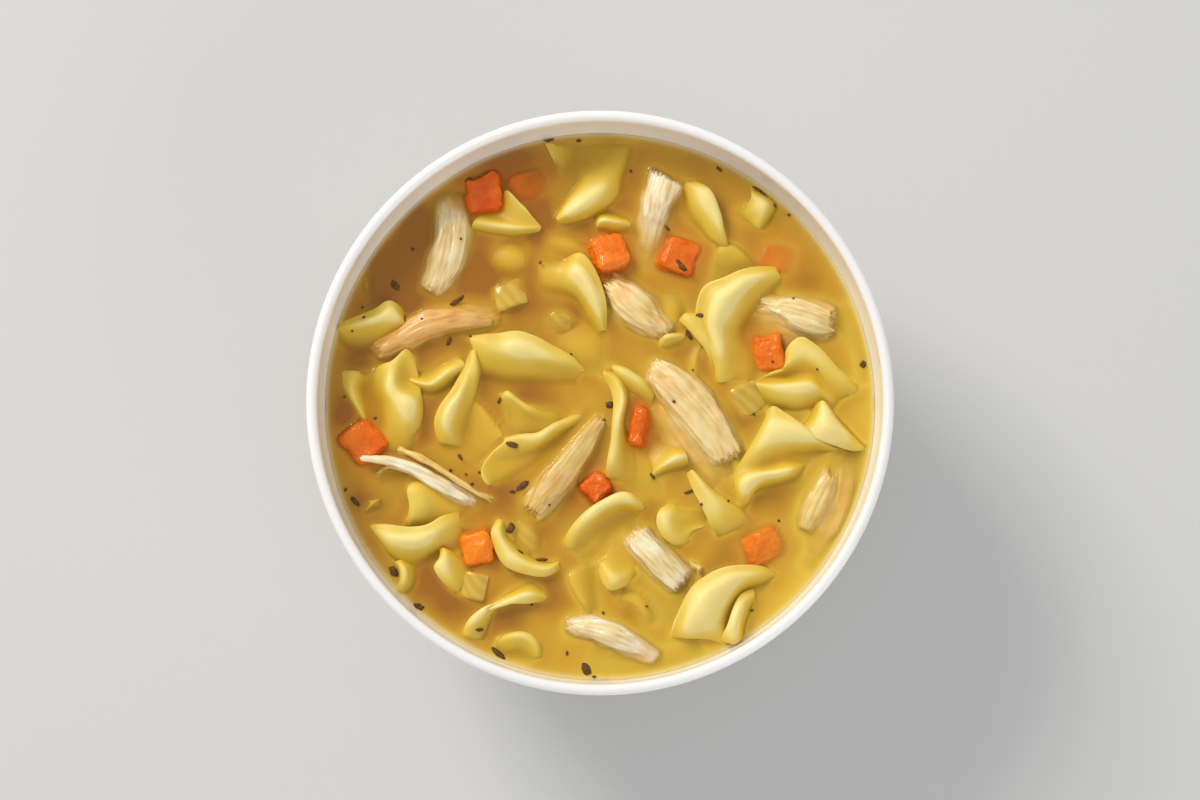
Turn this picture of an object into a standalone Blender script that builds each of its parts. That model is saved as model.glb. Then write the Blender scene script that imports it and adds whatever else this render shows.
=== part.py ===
"""Chicken noodle soup in its bowl: a white porcelain bowl filled to a little under its rim with
golden broth, with egg noodles, torn chicken, diced carrot and celery that break the surface.

Metres, +Z up. The origin is the middle of the bowl's foot, on the surface that it stands on. The
broth is cut round every piece that breaks its surface, and neighbours keep a small gap."""

import math

import bmesh
import bpy
from mathutils import Matrix, Vector, noise

MM = 0.001

# The bowl. Its inside and outside are superellipses hung from the rim.
BOWL_HEIGHT = 0.062
RIM_RADIUS = 0.075
LIP_WIDTH = 0.0028
FLOOR_HEIGHT = 0.007
UNDERSIDE_HEIGHT = 0.0025
BOWL_ROUNDNESS = 2.2
FOOT_RADIUS = 0.041
FOOT_WIDTH = 0.0045
FOOT_CHAMFER = 0.0005
FOOT_ROOT = 0.004
BOWL_SEGMENTS = 40
WALL_STEPS = 6

# The broth, and the clearance round all that stands in it.
BROTH_LEVEL = 0.050
CLEARANCE = 0.00035
MOST_MITRE = 1.8
POCKET_ROOM = 0.0009
POCKET_PLAINNESS = 12
SLIVER = 0.000002
MERGE = 0.000001

# Egg noodles: flat ribbons, soft and curled, and a little cupped across.
NOODLE_THICKNESS = 0.0014
NOODLE_CUPPING = 0.08
NOODLE_CELLS = (6, 2)

# Chicken: strips and blocks torn along the grain.
CHICKEN_SIDES = 7
CHICKEN_RINGS = 5
CHICKEN_UNEVENNESS = 0.12
CHICKEN_SQUARENESS = 0.8

# Diced vegetables.
DICE_ROUNDING = 0.0009
CELERY_THICKNESS = 0.0032

# Each noodle lies along one of its long edges. Its row gives how far the ribbon keeps to one direction,
# from 0 to 1, and then stations along the edge in millimetres: x and y from the middle of the bowl, the
# edge's lift over the broth, the angle at which the ribbon falls away to its left, and its width there.
NOODLES = {
    "noodle_01": (0.7, [(-32.8, 47.6, 0.2, 68, 6), (-28, 44.9, 1.4, 56, 7), (-22, 43.9, 1.6, 8, 11.4),
                        (-15.6, 45.9, 0.3, 45, 9)]),
    "noodle_02": (0.5, [(-11.4, 47.9, 0.6, 65, 8), (-5, 49.8, 2.2, 50, 11), (0.6, 51.9, 2.8, 38, 13),
                        (4.6, 58, 2.4, 22, 14), (7, 64.8, 0.5, 14, 9.6)]),
    "noodle_03": (0.5, [(-0.6, 46.2, 0.2, 60, 5), (1.6, 48.3, 1.2, 60, 6), (5, 48.2, 1.2, 60, 6),
                        (8.4, 47, 0.2, 60, 5)]),
    "noodle_04": (0.5, [(32.8, 42.4, 0.3, 72, 7), (31.2, 49, 2.2, 55, 9), (28.8, 54.4, 2.2, 35, 9.5),
                        (23.6, 58.2, 0.2, 30, 7)]),
    "noodle_05": (0.9, [(41.4, 46.2, 0.2, 45, 6), (44, 51.2, 1.8, 28, 9), (39.8, 55, 0.6, 30, 8)]),
    "noodle_06": (0.6, [(-52, 22.8, 0.4, 65, 6), (-54, 26, 1.9, 45, 8), (-60, 22.9, 1.5, 38, 8),
                        (-66.6, 19.6, 0.4, 25, 6)]),
    "noodle_07": (0.9, [(-47.4, 11, 0.8, 18, 18), (-49.6, 12.8, 2.6, 12, 20), (-54, 9.4, 0.8, 8, 13),
                        (-59.6, 8.4, 1.6, 12, 11), (-65.6, 7.6, 0.3, 25, 8)]),
    "noodle_08": (0.5, [(-45.4, 5, 0.2, 80, 3.5), (-43, 4.7, 1, 80, 4.5), (-41, 6, 1, 80, 4),
                        (-39.4, 8.6, 0.4, 80, 3)]),
    "noodle_09": (0.5, [(-34.6, -6, 0.2, 22, 9), (-32.6, 3, 2.4, 28, 8.8), (-31.6, 10, 2.8, 62, 9),
                        (-32.6, 14.4, 1.2, 72, 7)]),
    "noodle_10": (0.5, [(-3.8, 9, 0.2, 50, 8), (-10, 13.6, 1.6, 38, 10), (-20.4, 17.4, 2.9, 32, 11),
                        (-29, 17, 1.2, 50, 9)]),
    "noodle_11": (0.5, [(-0.4, 18.8, 0.6, 78, 10), (0.2, 24, 2.4, 62, 12), (-1.9, 32.6, 3, 38, 13),
                        (-6, 38, 1.2, 22, 12)]),
    "noodle_12": (0.5, [(22, 16.4, 0.1, 60, 5), (18.4, 15.9, 0.9, 60, 6), (15.2, 14.4, 0.2, 60, 5)]),
    "noodle_13": (0.8, [(-16.2, -1.6, 0.2, 50, 7), (-20, -1.2, 1, 50, 8), (-22.2, 1.1, 1.4, 45, 8),
                        (-25, 2.6, 0.3, 45, 7)]),
    "noodle_14": (0.3, [(3, -15.8, 0.4, 66, 8), (5, -9.4, 2, 68, 9), (6.4, -1, 2.4, 68, 9),
                        (5, 5.6, 2, 66, 9), (0.6, 8, 0.5, 66, 7)]),
    "noodle_15": (0.5, [(12.4, 3.2, 0.1, 55, 4), (9, 6, 0.9, 60, 6), (5.2, 10.2, 0.6, 65, 5)]),
    "noodle_16": (0.4, [(37.2, 8.4, 0.4, 55, 8), (35.6, 15, 2, 55, 11), (35.4, 22, 2.6, 42, 13),
                        (39.4, 28, 2.8, 20, 13), (47.6, 33.8, 0.4, 60, 7)]),
    "noodle_17": (0.5, [(21.2, 22.8, 0.5, 62, 4.6), (24.8, 19, 1.6, 66, 5.4), (27.8, 14.4, 1.8, 66, 5.4),
                        (29.6, 6, 0.3, 62, 4.6)]),
    "noodle_18": (0.85, [(66, 3.9, 0.4, 15, 8), (61.4, 8.4, 1.6, 20, 12), (56.6, 13.2, 2.4, 20, 14),
                         (53, 15.6, 2.6, 18, 15), (50.2, 13.8, 0.8, 15, 10.5)]),
    "noodle_19": (0.5, [(-49.4, -21.2, 0.3, 40, 10), (-48.6, -25, 1, 35, 12), (-49, -28.9, 0.4, 40, 10)]),
    "noodle_20": (0.5, [(-58.4, -31.6, 0.4, 15, 7), (-54.6, -37.6, 1.8, 22, 8), (-48, -39.8, 2.2, 28, 9),
                        (-41, -36.6, 1.8, 34, 9), (-36.4, -31.6, 0.4, 45, 7)]),
    "noodle_21": (0.7, [(-6, -3, 0.4, 70, 8), (-12, -6, 1.6, 55, 10), (-19, -8.8, 2, 35, 12),
                        (-25, -9.8, 1.8, 22, 13), (-30, -15, 0.8, 20, 10)]),
    "noodle_22": (0.6, [(12.4, -27.6, 0.3, 45, 8), (5.7, -25, 2, 38, 10), (-1.2, -28, 2.4, 32, 11),
                        (-6.8, -32.4, 1.8, 28, 11), (-8.8, -38.4, 0.4, 25, 9)]),
    "noodle_23": (0.6, [(21, -13.6, 0.2, 50, 7), (17.4, -15.2, 1, 50, 8), (15, -17.4, 0.3, 50, 7)]),
    "noodle_24": (0.2, [(-26.4, -31.4, 0.6, 68, 7), (-26, -36, 2, 66, 8), (-23.4, -40.4, 2.2, 64, 8),
                        (-18, -42.6, 2, 64, 8), (-11.6, -42.4, 0.5, 66, 7)]),
    "noodle_25": (0.4, [(19, -25.4, 0.2, 40, 7), (16.4, -28.8, 1.3, 34, 8), (17.2, -32.6, 1.1, 34, 8),
                        (20.6, -35.6, 0.2, 40, 7)]),
    "noodle_26": (0.4, [(23.2, -18, 1, 60, 5), (24.8, -22.4, 2.2, 42, 8), (27.3, -27.2, 1.8, 26, 10),
                        (30.8, -33, 0.2, 18, 9)]),
    "noodle_27": (0.9, [(67.2, -11.6, 0.4, 30, 4), (61.8, -4.6, 2, 30, 9), (57, 0.2, 2.8, 24, 12),
                        (53, -5.4, 1.2, 12, 13), (49, -4.6, 2, 12, 16), (45, -1.6, 1.6, 10, 20)]),
    "noodle_28": (0.5, [(-40.6, -37.6, 0.4, 50, 5), (-41.8, -41.8, 1.5, 38, 7), (-40, -45.6, 1.4, 38, 5),
                        (-37.6, -48, 0.3, 45, 4)]),
    "noodle_29": (0.5, [(-50.2, -46, 0.2, 50, 4), (-49.4, -43.2, 1, 50, 5), (-51.4, -40.4, 0.2, 50, 4)]),
    "noodle_30": (0.5, [(-33.2, -59.6, 0.2, 72, 6), (-31.4, -55.2, 1.6, 72, 7), (-25, -51.8, 2.1, 48, 8.6),
                        (-19, -50.2, 1.8, 40, 10), (-13.2, -50, 0.3, 50, 8)]),
    "noodle_31": (0.5, [(-15.6, -64.4, 0.2, 60, 5), (-16.8, -61.4, 1, 60, 6), (-20.4, -60, 1.2, 60, 6),
                        (-25.6, -61.2, 0.2, 60, 5)]),
    "noodle_32": (0.7, [(-0.2, -42.4, 0.1, 30, 5.4), (2.2, -46.8, 1, 30, 7.6), (5.4, -46.4, 0.9, 30, 7),
                        (8, -44.6, 0.1, 30, 5)]),
    "noodle_33": (0.1, [(45.4, -43.6, 0.4, 58, 4), (35.4, -42.8, 2.6, 42, 8), (26, -46, 3.2, 26, 11),
                        (21.8, -52, 2.8, 16, 11), (19.4, -59.4, 0.6, 12, 11)]),
    "noodle_34": (0.5, [(40, -48.6, 0.6, 50, 4), (37, -50.4, 1.8, 48, 5), (36, -53.6, 1.8, 40, 4.5),
                        (34.8, -57.4, 0.4, 30, 4)]),
}

# Each piece of chicken follows its grain through stations in millimetres: x and y, its top's lift over
# the broth, its width and its thickness there.
CHICKEN = {
    "chicken_01": [(-40.4, 54, -0.8, 5, 3.6), (-38.5, 48, 1.8, 8.4, 6), (-38.4, 41, 3, 9.6, 6.5),
                   (-41, 35, 2.6, 9, 6), (-43.5, 30.6, 1, 5.5, 4.5)],
    "chicken_02": [(17.2, 58.6, 3, 9, 6.5), (15.3, 54.4, 3.6, 8.6, 6.5), (13.6, 49, 1.6, 6.5, 5.5),
                   (12.8, 43, 0, 5, 4.5), (12.5, 37, -1.6, 3.6, 3)],
    "chicken_03": [(-56.6, 14, 1, 4, 4), (-51.7, 16.6, 2.6, 6, 5.5), (-47, 20.4, 3.5, 7.6, 7),
                   (-41.5, 21.8, 3.4, 8, 7), (-35, 22.5, 2, 6.2, 6), (-27.5, 22.8, -0.4, 4, 4)],
    "chicken_04": [(3, 31.2, 1.6, 5, 4.5), (5.8, 28.4, 3.4, 9, 7), (10.2, 24, 3.7, 10.2, 7.5),
                   (14.2, 21, 2.4, 7, 6), (17.4, 19.2, 0.6, 3.4, 3.5)],
    "chicken_05": [(13.4, 8.6, 2.6, 6, 5.5), (18, 6, 4, 10.4, 8), (23.5, 0.2, 4.2, 12, 9),
                   (28.5, -7, 3.8, 12.4, 9), (32.2, -13.5, 2.2, 8, 7)],
    "chicken_06": [(42.6, 25.8, 0.8, 4, 4), (48, 24.9, 2.8, 6.6, 6), (54, 22.4, 3.5, 10, 8),
                   (59.2, 21.4, 2.2, 8.6, 7)],
    "chicken_07": [(-61, -14.2, 3.2, 1.6, 1.6), (-54.4, -14.4, 3.2, 2.8, 2.4),
                   (-48.5, -16.4, 3.2, 3.6, 3.4), (-42.5, -20, 3.1, 4.2, 4), (-37, -23.2, 2.2, 4, 4),
                   (-33, -24.8, 0.6, 2.2, 3)],
    "chicken_08": [(0, -4.4, 1.6, 3, 3), (-3.8, -9.6, 3.1, 5.4, 5), (-8.4, -16.4, 3.6, 7.2, 6),
                   (-13.4, -22.4, 3.3, 8.2, 6), (-17, -27, 1.4, 6.2, 5)],
    "chicken_09": [(59.2, -18.8, 0.8, 3.4, 4), (56.8, -23.5, 1.9, 5.6, 5), (54.4, -28.4, 1.5, 5.4, 5),
                   (53.2, -31.6, 0.2, 3, 3)],
    "chicken_10": [(9.6, -34, 2.6, 7, 6), (12.4, -37.8, 3.5, 7.6, 7), (16.6, -41.8, 3.5, 8, 7),
                   (20.6, -45.6, 1.8, 6.8, 6)],
    "chicken_11": [(-7.5, -57, 0.8, 3, 3.5), (-1, -57.8, 3.2, 6.6, 6), (5, -60.2, 3.2, 6.4, 6),
                   (10, -62.8, 1.8, 4.6, 5), (13.8, -64.8, 0.2, 2.2, 3)],
}

# Each die of carrot: the middle of its top in millimetres (x, y, lift), its three sides, its turn about the
# vertical, and its tilt about its own x and y in degrees.
CARROTS = {
    "carrot_01": [(-30.4, 54.8, 1.4), (9, 9.4, 7), 12, (8, -8)],
    "carrot_02": [(2.8, 40.2, 2.6), (8.6, 8.8, 8.5), 22, (-12, 14)],
    "carrot_03": [(21.1, 38.8, 1.8), (8.8, 8.6, 8.5), -18, (-8, 10)],
    "carrot_04": [(43.6, 13.2, 1.6), (7, 9.2, 7.6), 12, (8, -8)],
    "carrot_05": [(-61, -9.6, 1.0), (9.8, 9.8, 7), 38, (0, 3)],
    "carrot_06": [(9.6, -5.4, 2), (3.8, 10, 6), -10, (4, -16)],
    "carrot_07": [(-1, -21.2, 2), (6.8, 6.8, 7), 42, (-6, 8)],
    "carrot_08": [(-31.9, -37.2, 1.9), (7.4, 8.6, 8), 12, (6, -10)],
    "carrot_09": [(42.4, -36.6, 0.4), (9.6, 8.6, 7), 25, (4, 5)],
}

# Each slice of celery: the middle of its top (x, y, lift), its two sides, its turn, its tilt and the arc
# that it bends through in degrees.
CELERY = {
    "celery_01": [(-32.4, -46.8, 0.9), (6.8, 6.8), -14, (0, -8), 50],
    "celery_02": [(38.4, 1.4, 0.8), (7.4, 8), 25, (8, 6), 45],
    "celery_03": [(-23.6, 28.8, 0.9), (8.6, 7), 20, (-10, 0), 55],
}


def clear_scene():
    for obj in list(bpy.data.objects):
        bpy.data.objects.remove(obj, do_unlink=True)


def material(name, colour, roughness, coat=0.0):
    made = bpy.data.materials.new(name)
    made.use_nodes = True
    shader = made.node_tree.nodes["Principled BSDF"]
    shader.inputs["Base Color"].default_value = (*colour, 1)
    shader.inputs["Roughness"].default_value = roughness
    shader.inputs["Metallic"].default_value = 0.0
    shader.inputs["Coat Weight"].default_value = coat
    return made


def add_object(name, bm, finish, smooth=True):
    """Closes the bmesh into one named object with faces that point outwards."""
    bmesh.ops.recalc_face_normals(bm, faces=bm.faces[:])
    mesh = bpy.data.meshes.new(name)
    bm.to_mesh(mesh)
    bm.free()
    mesh.materials.append(finish)
    if smooth:
        mesh.shade_smooth()
        mesh.set_sharp_from_angle(angle=math.radians(40))
    obj = bpy.data.objects.new(name, mesh)
    bpy.context.scene.collection.objects.link(obj)
    return obj


def at_station(stations, t):
    """The stations read at t, from 0 to 1, on a smooth curve through them all."""
    spans = len(stations) - 1
    place = min(t, 0.999999) * spans
    first = int(place)
    u = place - first
    before = stations[max(first - 1, 0)]
    start = stations[first]
    end = stations[first + 1]
    after = stations[min(first + 2, spans)]
    read = []
    for a, b, c, d in zip(before, start, end, after):
        slope = (c - a) * u + (2 * a - 5 * b + 4 * c - d) * u**2 + (3 * b - a - 3 * c + d) * u**3
        read.append(b + 0.5 * slope)
    return read


def heading_at(stations, t):
    """The direction, seen from above, in which the stations run at t."""
    ahead = Vector(at_station(stations, min(t + 0.05, 1))[:2])
    behind = Vector(at_station(stations, max(t - 0.05, 0))[:2])
    return (ahead - behind).normalized()


def thicken(bm, thickness):
    """Gives a sheet its thickness below its upper face, and closes its rim."""
    bm.normal_update()
    if sum(face.normal.z for face in bm.faces) < 0:
        bmesh.ops.reverse_faces(bm, faces=bm.faces[:])
        bm.normal_update()
    upper = bm.verts[:]
    sheet = upper + bm.edges[:] + bm.faces[:]
    lower = bmesh.ops.duplicate(bm, geom=sheet)["vert_map"]
    for vert in upper:
        lower[vert].co = vert.co - vert.normal * thickness
    bmesh.ops.bridge_loops(bm, edges=[edge for edge in bm.edges if edge.is_boundary])


def superellipse_radius(height, radius, depth):
    """The radius, at a height, of a wall that hangs from the rim as a superellipse."""
    share = min(1.0, max(0.0, (BOWL_HEIGHT - height) / depth))
    return radius * (1 - share**BOWL_ROUNDNESS) ** (1 / BOWL_ROUNDNESS)


def wall_profile(radius, depth, lowest, highest, steps):
    """Points down a wall, closer together where it turns in to the floor."""
    points = []
    for i in range(steps + 1):
        height = highest - (highest - lowest) * math.sin(0.5 * math.pi * i / steps)
        points.append((superellipse_radius(height, radius, depth), height))
    return points


def spin_profile(points):
    """A closed solid turned from a profile that starts and ends on the axis."""
    bm = bmesh.new()
    verts = [bm.verts.new((r, 0, z)) for r, z in points]
    edges = [bm.edges.new(pair) for pair in zip(verts, verts[1:])]
    bmesh.ops.spin(
        bm,
        geom=verts + edges,
        cent=(0, 0, 0),
        axis=(0, 0, 1),
        angle=2 * math.pi,
        steps=BOWL_SEGMENTS,
        use_merge=True,
    )
    bmesh.ops.remove_doubles(bm, verts=bm.verts[:], dist=MERGE)
    return bm


def inner_wall():
    """The bowl's inside from just under the lip down to the middle of its floor."""
    inner_depth = BOWL_HEIGHT - FLOOR_HEIGHT
    lip_start = BOWL_HEIGHT - LIP_WIDTH / 2
    return wall_profile(RIM_RADIUS - LIP_WIDTH, inner_depth, FLOOR_HEIGHT, lip_start, WALL_STEPS)


def bowl():
    outer_depth = BOWL_HEIGHT - UNDERSIDE_HEIGHT
    lip = LIP_WIDTH / 2
    lip_start = BOWL_HEIGHT - lip
    points = inner_wall()[::-1]
    for turn in (135, 90, 45):
        angle = math.radians(turn)
        points.append((RIM_RADIUS - lip + lip * math.cos(angle), lip_start + lip * math.sin(angle)))
    share = (FOOT_RADIUS / RIM_RADIUS) ** BOWL_ROUNDNESS
    foot_top = BOWL_HEIGHT - outer_depth * (1 - share) ** (1 / BOWL_ROUNDNESS)
    points += wall_profile(RIM_RADIUS, outer_depth, foot_top, lip_start, WALL_STEPS - 1)
    foot_inside = FOOT_RADIUS - FOOT_WIDTH
    points.append((FOOT_RADIUS - FOOT_CHAMFER, 0))
    points.append((foot_inside + FOOT_CHAMFER, 0))
    points.append((foot_inside - 2 * FOOT_CHAMFER, foot_top - FOOT_ROOT))
    points.append((0, UNDERSIDE_HEIGHT))
    return add_object("bowl", spin_profile(points), PORCELAIN)


def broth_body():
    """The broth before anything stands in it: it fills the bowl up to its level."""
    wall = [(radius - CLEARANCE, height + CLEARANCE) for radius, height in inner_wall()[:-1]]
    over = [point for point in wall if point[1] > BROTH_LEVEL][-1]
    under = [point for point in wall if point[1] < BROTH_LEVEL]
    share = (over[1] - BROTH_LEVEL) / (over[1] - under[0][1])
    edge = (over[0] + share * (under[0][0] - over[0]), BROTH_LEVEL)
    return spin_profile([(0, BROTH_LEVEL), edge] + under + [(0, FLOOR_HEIGHT + CLEARANCE)])


def noodle(name, steadiness, stations):
    """A flat ribbon hung from its upper edge and falling away to the left of it."""
    start = Vector(at_station(stations, 0)[:2])
    end = Vector(at_station(stations, 1)[:2])
    chord = (end - start).normalized()
    extra_cells = 2 if len(stations) > 4 else 0
    bm = bmesh.new()
    bmesh.ops.create_grid(bm, x_segments=NOODLE_CELLS[0] + extra_cells, y_segments=NOODLE_CELLS[1], size=1)
    for vert in bm.verts:
        t = 0.5 + 0.5 * vert.co.x
        across = 0.5 + 0.5 * vert.co.y
        x, y, lift, fall, width = at_station(stations, t)
        heading = heading_at(stations, t).lerp(chord, steadiness).normalized()
        cup = 4 * NOODLE_CUPPING * width * across * (1 - across)
        slope = math.radians(fall)
        out = width * across * math.cos(slope) + cup * math.sin(slope)
        down = width * across * math.sin(slope) - cup * math.cos(slope)
        place = Vector((x - heading.y * out, y + heading.x * out, lift - down))
        vert.co = place * MM + Vector((0, 0, BROTH_LEVEL))
    thicken(bm, NOODLE_THICKNESS)
    return add_object(name, bm, NOODLE)


def blunted(share):
    """A round section's share of its half width, swelled towards that of a square one."""
    return math.copysign(abs(share) ** CHICKEN_SQUARENESS, share)


def chicken(name, stations):
    """A strip of meat: rings along the grain, uneven all round, with a blunt torn end."""
    bm = bmesh.new()
    rings = []
    for i in range(CHICKEN_RINGS + 1):
        t = i / CHICKEN_RINGS
        x, y, top, width, thickness = at_station(stations, t)
        heading = heading_at(stations, t)
        side = Vector((-heading.y, heading.x, 0))
        ring = []
        for k in range(CHICKEN_SIDES):
            angle = 2 * math.pi * (k + 0.5) / CHICKEN_SIDES
            uneven = 1 + CHICKEN_UNEVENNESS * noise.noise(Vector((x * 0.3, y * 0.3, k * 1.7)))
            across = 0.5 * width * uneven * blunted(math.cos(angle))
            up = 0.5 * thickness * uneven * blunted(math.sin(angle))
            place = Vector((x, y, top - 0.5 * thickness)) + side * across + Vector((0, 0, up))
            ring.append(bm.verts.new(place * MM + Vector((0, 0, BROTH_LEVEL))))
        rings.append(ring)
    loops = []
    for ring in rings:
        loops.append([bm.edges.new(pair) for pair in zip(ring, ring[1:] + ring[:1])])
    for first, second in zip(loops, loops[1:]):
        bmesh.ops.bridge_loops(bm, edges=first + second)
    for ring in (rings[0], rings[-1]):
        bm.faces.new(ring)
    return add_object(name, bm, CHICKEN_MEAT)


def turned(place, turn, tilt):
    """The matrix that sets a piece down with the middle of its top at the place."""
    x, y, lift = place
    move = Matrix.Translation((x * MM, y * MM, BROTH_LEVEL + lift * MM))
    spin = Matrix.Rotation(math.radians(turn), 4, "Z")
    lean = Matrix.Rotation(math.radians(tilt[0]), 4, "X") @ Matrix.Rotation(math.radians(tilt[1]), 4, "Y")
    return move @ spin @ lean


def carrot(name, place, sides, turn, tilt):
    """A die cut from a round root, so no two sides are quite square, with soft cooked edges."""
    bm = bmesh.new()
    bmesh.ops.create_cube(bm, size=1)
    for vert in bm.verts:
        skew = 1 + 0.1 * noise.noise(Vector((place[0], place[1], 0)) + 3 * vert.co)
        x, y, z = (share * side * MM for share, side in zip(vert.co, sides))
        vert.co = Vector((x * skew, y * skew, z - 0.5 * sides[2] * MM))
    bmesh.ops.bevel(
        bm,
        geom=bm.edges[:],
        offset=DICE_ROUNDING,
        offset_type="OFFSET",
        segments=1,
        profile=0.5,
        affect="EDGES",
        material=-1,
    )
    bmesh.ops.transform(bm, matrix=turned(place, turn, tilt), verts=bm.verts[:])
    return add_object(name, bm, CARROT)


def celery(name, place, sides, turn, tilt, arc):
    """A slice across a stalk: a slab bent round the stalk's own curve."""
    bm = bmesh.new()
    bmesh.ops.create_grid(bm, x_segments=4, y_segments=2, size=0.5)
    radius = sides[0] * MM / math.radians(arc)
    for vert in bm.verts:
        angle = math.radians(arc) * vert.co.x
        across = vert.co.y * sides[1] * MM
        vert.co = Vector((radius * math.sin(angle), across, radius * (math.cos(angle) - 1)))
    thicken(bm, CELERY_THICKNESS)
    bmesh.ops.transform(bm, matrix=turned(place, turn, tilt), verts=bm.verts[:])
    return add_object(name, bm, CELERY_FLESH)


def pocket(piece):
    """A hidden copy of a piece, grown by the room round it, which cuts its pocket in the broth."""
    bm = bmesh.new()
    bm.from_mesh(piece.data)
    grown = []
    for vert in bm.verts:
        mitre = min(vert.calc_shell_factor(), MOST_MITRE)
        grown.append(vert.co + vert.normal * POCKET_ROOM * mitre)
    for vert, place in zip(bm.verts, grown):
        vert.co = place
    bmesh.ops.dissolve_limit(
        bm,
        angle_limit=math.radians(POCKET_PLAINNESS),
        verts=bm.verts[:],
        edges=bm.edges[:],
    )
    bmesh.ops.triangulate(bm, faces=bm.faces[:])
    cutter = add_object("pocket_" + piece.name, bm, BROTH, smooth=False)
    cutter.hide_render = True
    cutter.display_type = "WIRE"
    return cutter


def keep_largest_body(bm):
    """Leaves the broth in one body, without the drops that pieces close together hold between them."""
    bm.faces.index_update()
    reached = [False] * len(bm.faces)
    bodies = []
    for first in bm.faces:
        if reached[first.index]:
            continue
        reached[first.index] = True
        body = [first]
        for face in body:
            for edge in face.edges:
                for near in edge.link_faces:
                    if not reached[near.index]:
                        reached[near.index] = True
                        body.append(near)
        bodies.append(body)
    bodies.sort(key=len)
    drops = [face for body in bodies[:-1] for face in body]
    bmesh.ops.delete(bm, geom=drops, context="FACES")


def broth(pieces):
    """The broth with a pocket cut for each piece that stands in it.

    Some pockets fold over themselves. The exact solver would drop the whole broth there, and the
    manifold one keeps it."""
    obj = add_object("broth", broth_body(), BROTH)
    cutters = [pocket(piece) for piece in pieces]
    for cutter in cutters:
        cut = obj.modifiers.new(cutter.name, "BOOLEAN")
        cut.operation = "DIFFERENCE"
        cut.solver = "MANIFOLD"
        cut.object = cutter
    graph = bpy.context.evaluated_depsgraph_get()
    filled = bpy.data.meshes.new_from_object(obj.evaluated_get(graph))
    obj.modifiers.clear()
    for cutter in cutters:
        bpy.data.objects.remove(cutter, do_unlink=True)
    bm = bmesh.new()
    bm.from_mesh(filled)
    keep_largest_body(bm)
    bmesh.ops.remove_doubles(bm, verts=bm.verts[:], dist=SLIVER)
    bmesh.ops.triangulate(bm, faces=bm.faces[:])
    bm.to_mesh(obj.data)
    bm.free()
    return obj


clear_scene()
PORCELAIN = material("white_porcelain", (0.89, 0.88, 0.86), 0.12, coat=0.5)
BROTH = material("golden_broth", (0.55, 0.34, 0.05), 0.08)
NOODLE = material("egg_noodle", (0.84, 0.63, 0.22), 0.3)
CHICKEN_MEAT = material("chicken_breast", (0.87, 0.76, 0.56), 0.45)
CARROT = material("cooked_carrot", (0.83, 0.2, 0.03), 0.3)
CELERY_FLESH = material("cooked_celery", (0.62, 0.5, 0.12), 0.25)

bowl()
served = [noodle(name, *row) for name, row in NOODLES.items()]
served += [chicken(name, stations) for name, stations in CHICKEN.items()]
served += [carrot(name, *row) for name, row in CARROTS.items()]
served += [celery(name, *row) for name, row in CELERY.items()]
broth(served)
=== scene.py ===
"""Chicken noodle soup in a white porcelain bowl, dressed over its solid model and lit from the upper left."""

import math

import bmesh
import bpy
import numpy as np
from mathutils import Matrix, Vector, noise
from mathutils.bvhtree import BVHTree


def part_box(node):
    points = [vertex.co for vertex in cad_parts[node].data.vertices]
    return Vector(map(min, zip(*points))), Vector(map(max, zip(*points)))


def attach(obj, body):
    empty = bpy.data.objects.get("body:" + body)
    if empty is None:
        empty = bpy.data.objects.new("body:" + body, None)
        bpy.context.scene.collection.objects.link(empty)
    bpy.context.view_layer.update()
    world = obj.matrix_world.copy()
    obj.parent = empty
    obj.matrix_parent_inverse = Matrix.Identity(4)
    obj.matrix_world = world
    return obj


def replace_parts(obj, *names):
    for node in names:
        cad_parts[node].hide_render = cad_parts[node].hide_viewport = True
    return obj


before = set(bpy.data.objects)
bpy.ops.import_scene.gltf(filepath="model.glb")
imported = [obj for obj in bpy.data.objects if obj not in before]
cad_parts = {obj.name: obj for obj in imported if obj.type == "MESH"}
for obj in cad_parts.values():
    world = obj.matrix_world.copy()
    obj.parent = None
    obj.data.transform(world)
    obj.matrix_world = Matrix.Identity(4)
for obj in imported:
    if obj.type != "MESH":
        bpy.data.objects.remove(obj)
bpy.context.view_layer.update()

MM = 0.001


# The bowl. A coupe soup bowl of white porcelain, jiggered over a plaster mould, with a rounded lip and a
# turned foot ring, and dipped in a clear glaze that leaves only the ring's underside bare.
BOWL_LOW, BOWL_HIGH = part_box("bowl")
RIM_RADIUS = (BOWL_HIGH.x - BOWL_LOW.x) / 2
BOWL_HEIGHT = BOWL_HIGH.z
LIP_WIDTH = 2.8 * MM
BOWL_FLOOR = 7 * MM
BOWL_UNDERSIDE = 2.5 * MM
BOWL_ROUNDNESS = 2.2
FOOT_RADIUS = 41 * MM
FOOT_WIDTH = 4.5 * MM
FOOT_CHAMFER = 0.5 * MM
FOOT_ROOT = 4 * MM
FOOT_FLARE = 0.2 * MM
FOOT_SHOULDER = 1.2 * MM
UNDERSIDE_RISE = 0.6 * MM
INNER_RADIUS = RIM_RADIUS - LIP_WIDTH
INNER_DEPTH = BOWL_HEIGHT - BOWL_FLOOR
INNER_STEPS, OUTER_STEPS, LIP_STEP, ROUND_STEPS = 28, 24, 15, 128


def tint(colour):
    """An sRGB hex colour as the linear values that a shader takes."""
    parts = [int(colour[i : i + 2], 16) / 255 for i in (1, 3, 5)]
    return tuple(c / 12.92 if c <= 0.04045 else ((c + 0.055) / 1.055) ** 2.4 for c in parts) + (1.0,)


def add_node(tree, kind, settings=None, inputs=None):
    """Adds a node with its settings, and gives each input a value or a link from another node's output."""
    node = tree.nodes.new(kind)
    for name, value in (settings or {}).items():
        setattr(node, name, value)
    for name, value in (inputs or {}).items():
        if isinstance(value, bpy.types.NodeSocket):
            tree.links.new(value, node.inputs[name])
        else:
            node.inputs[name].default_value = value
    return node


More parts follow.
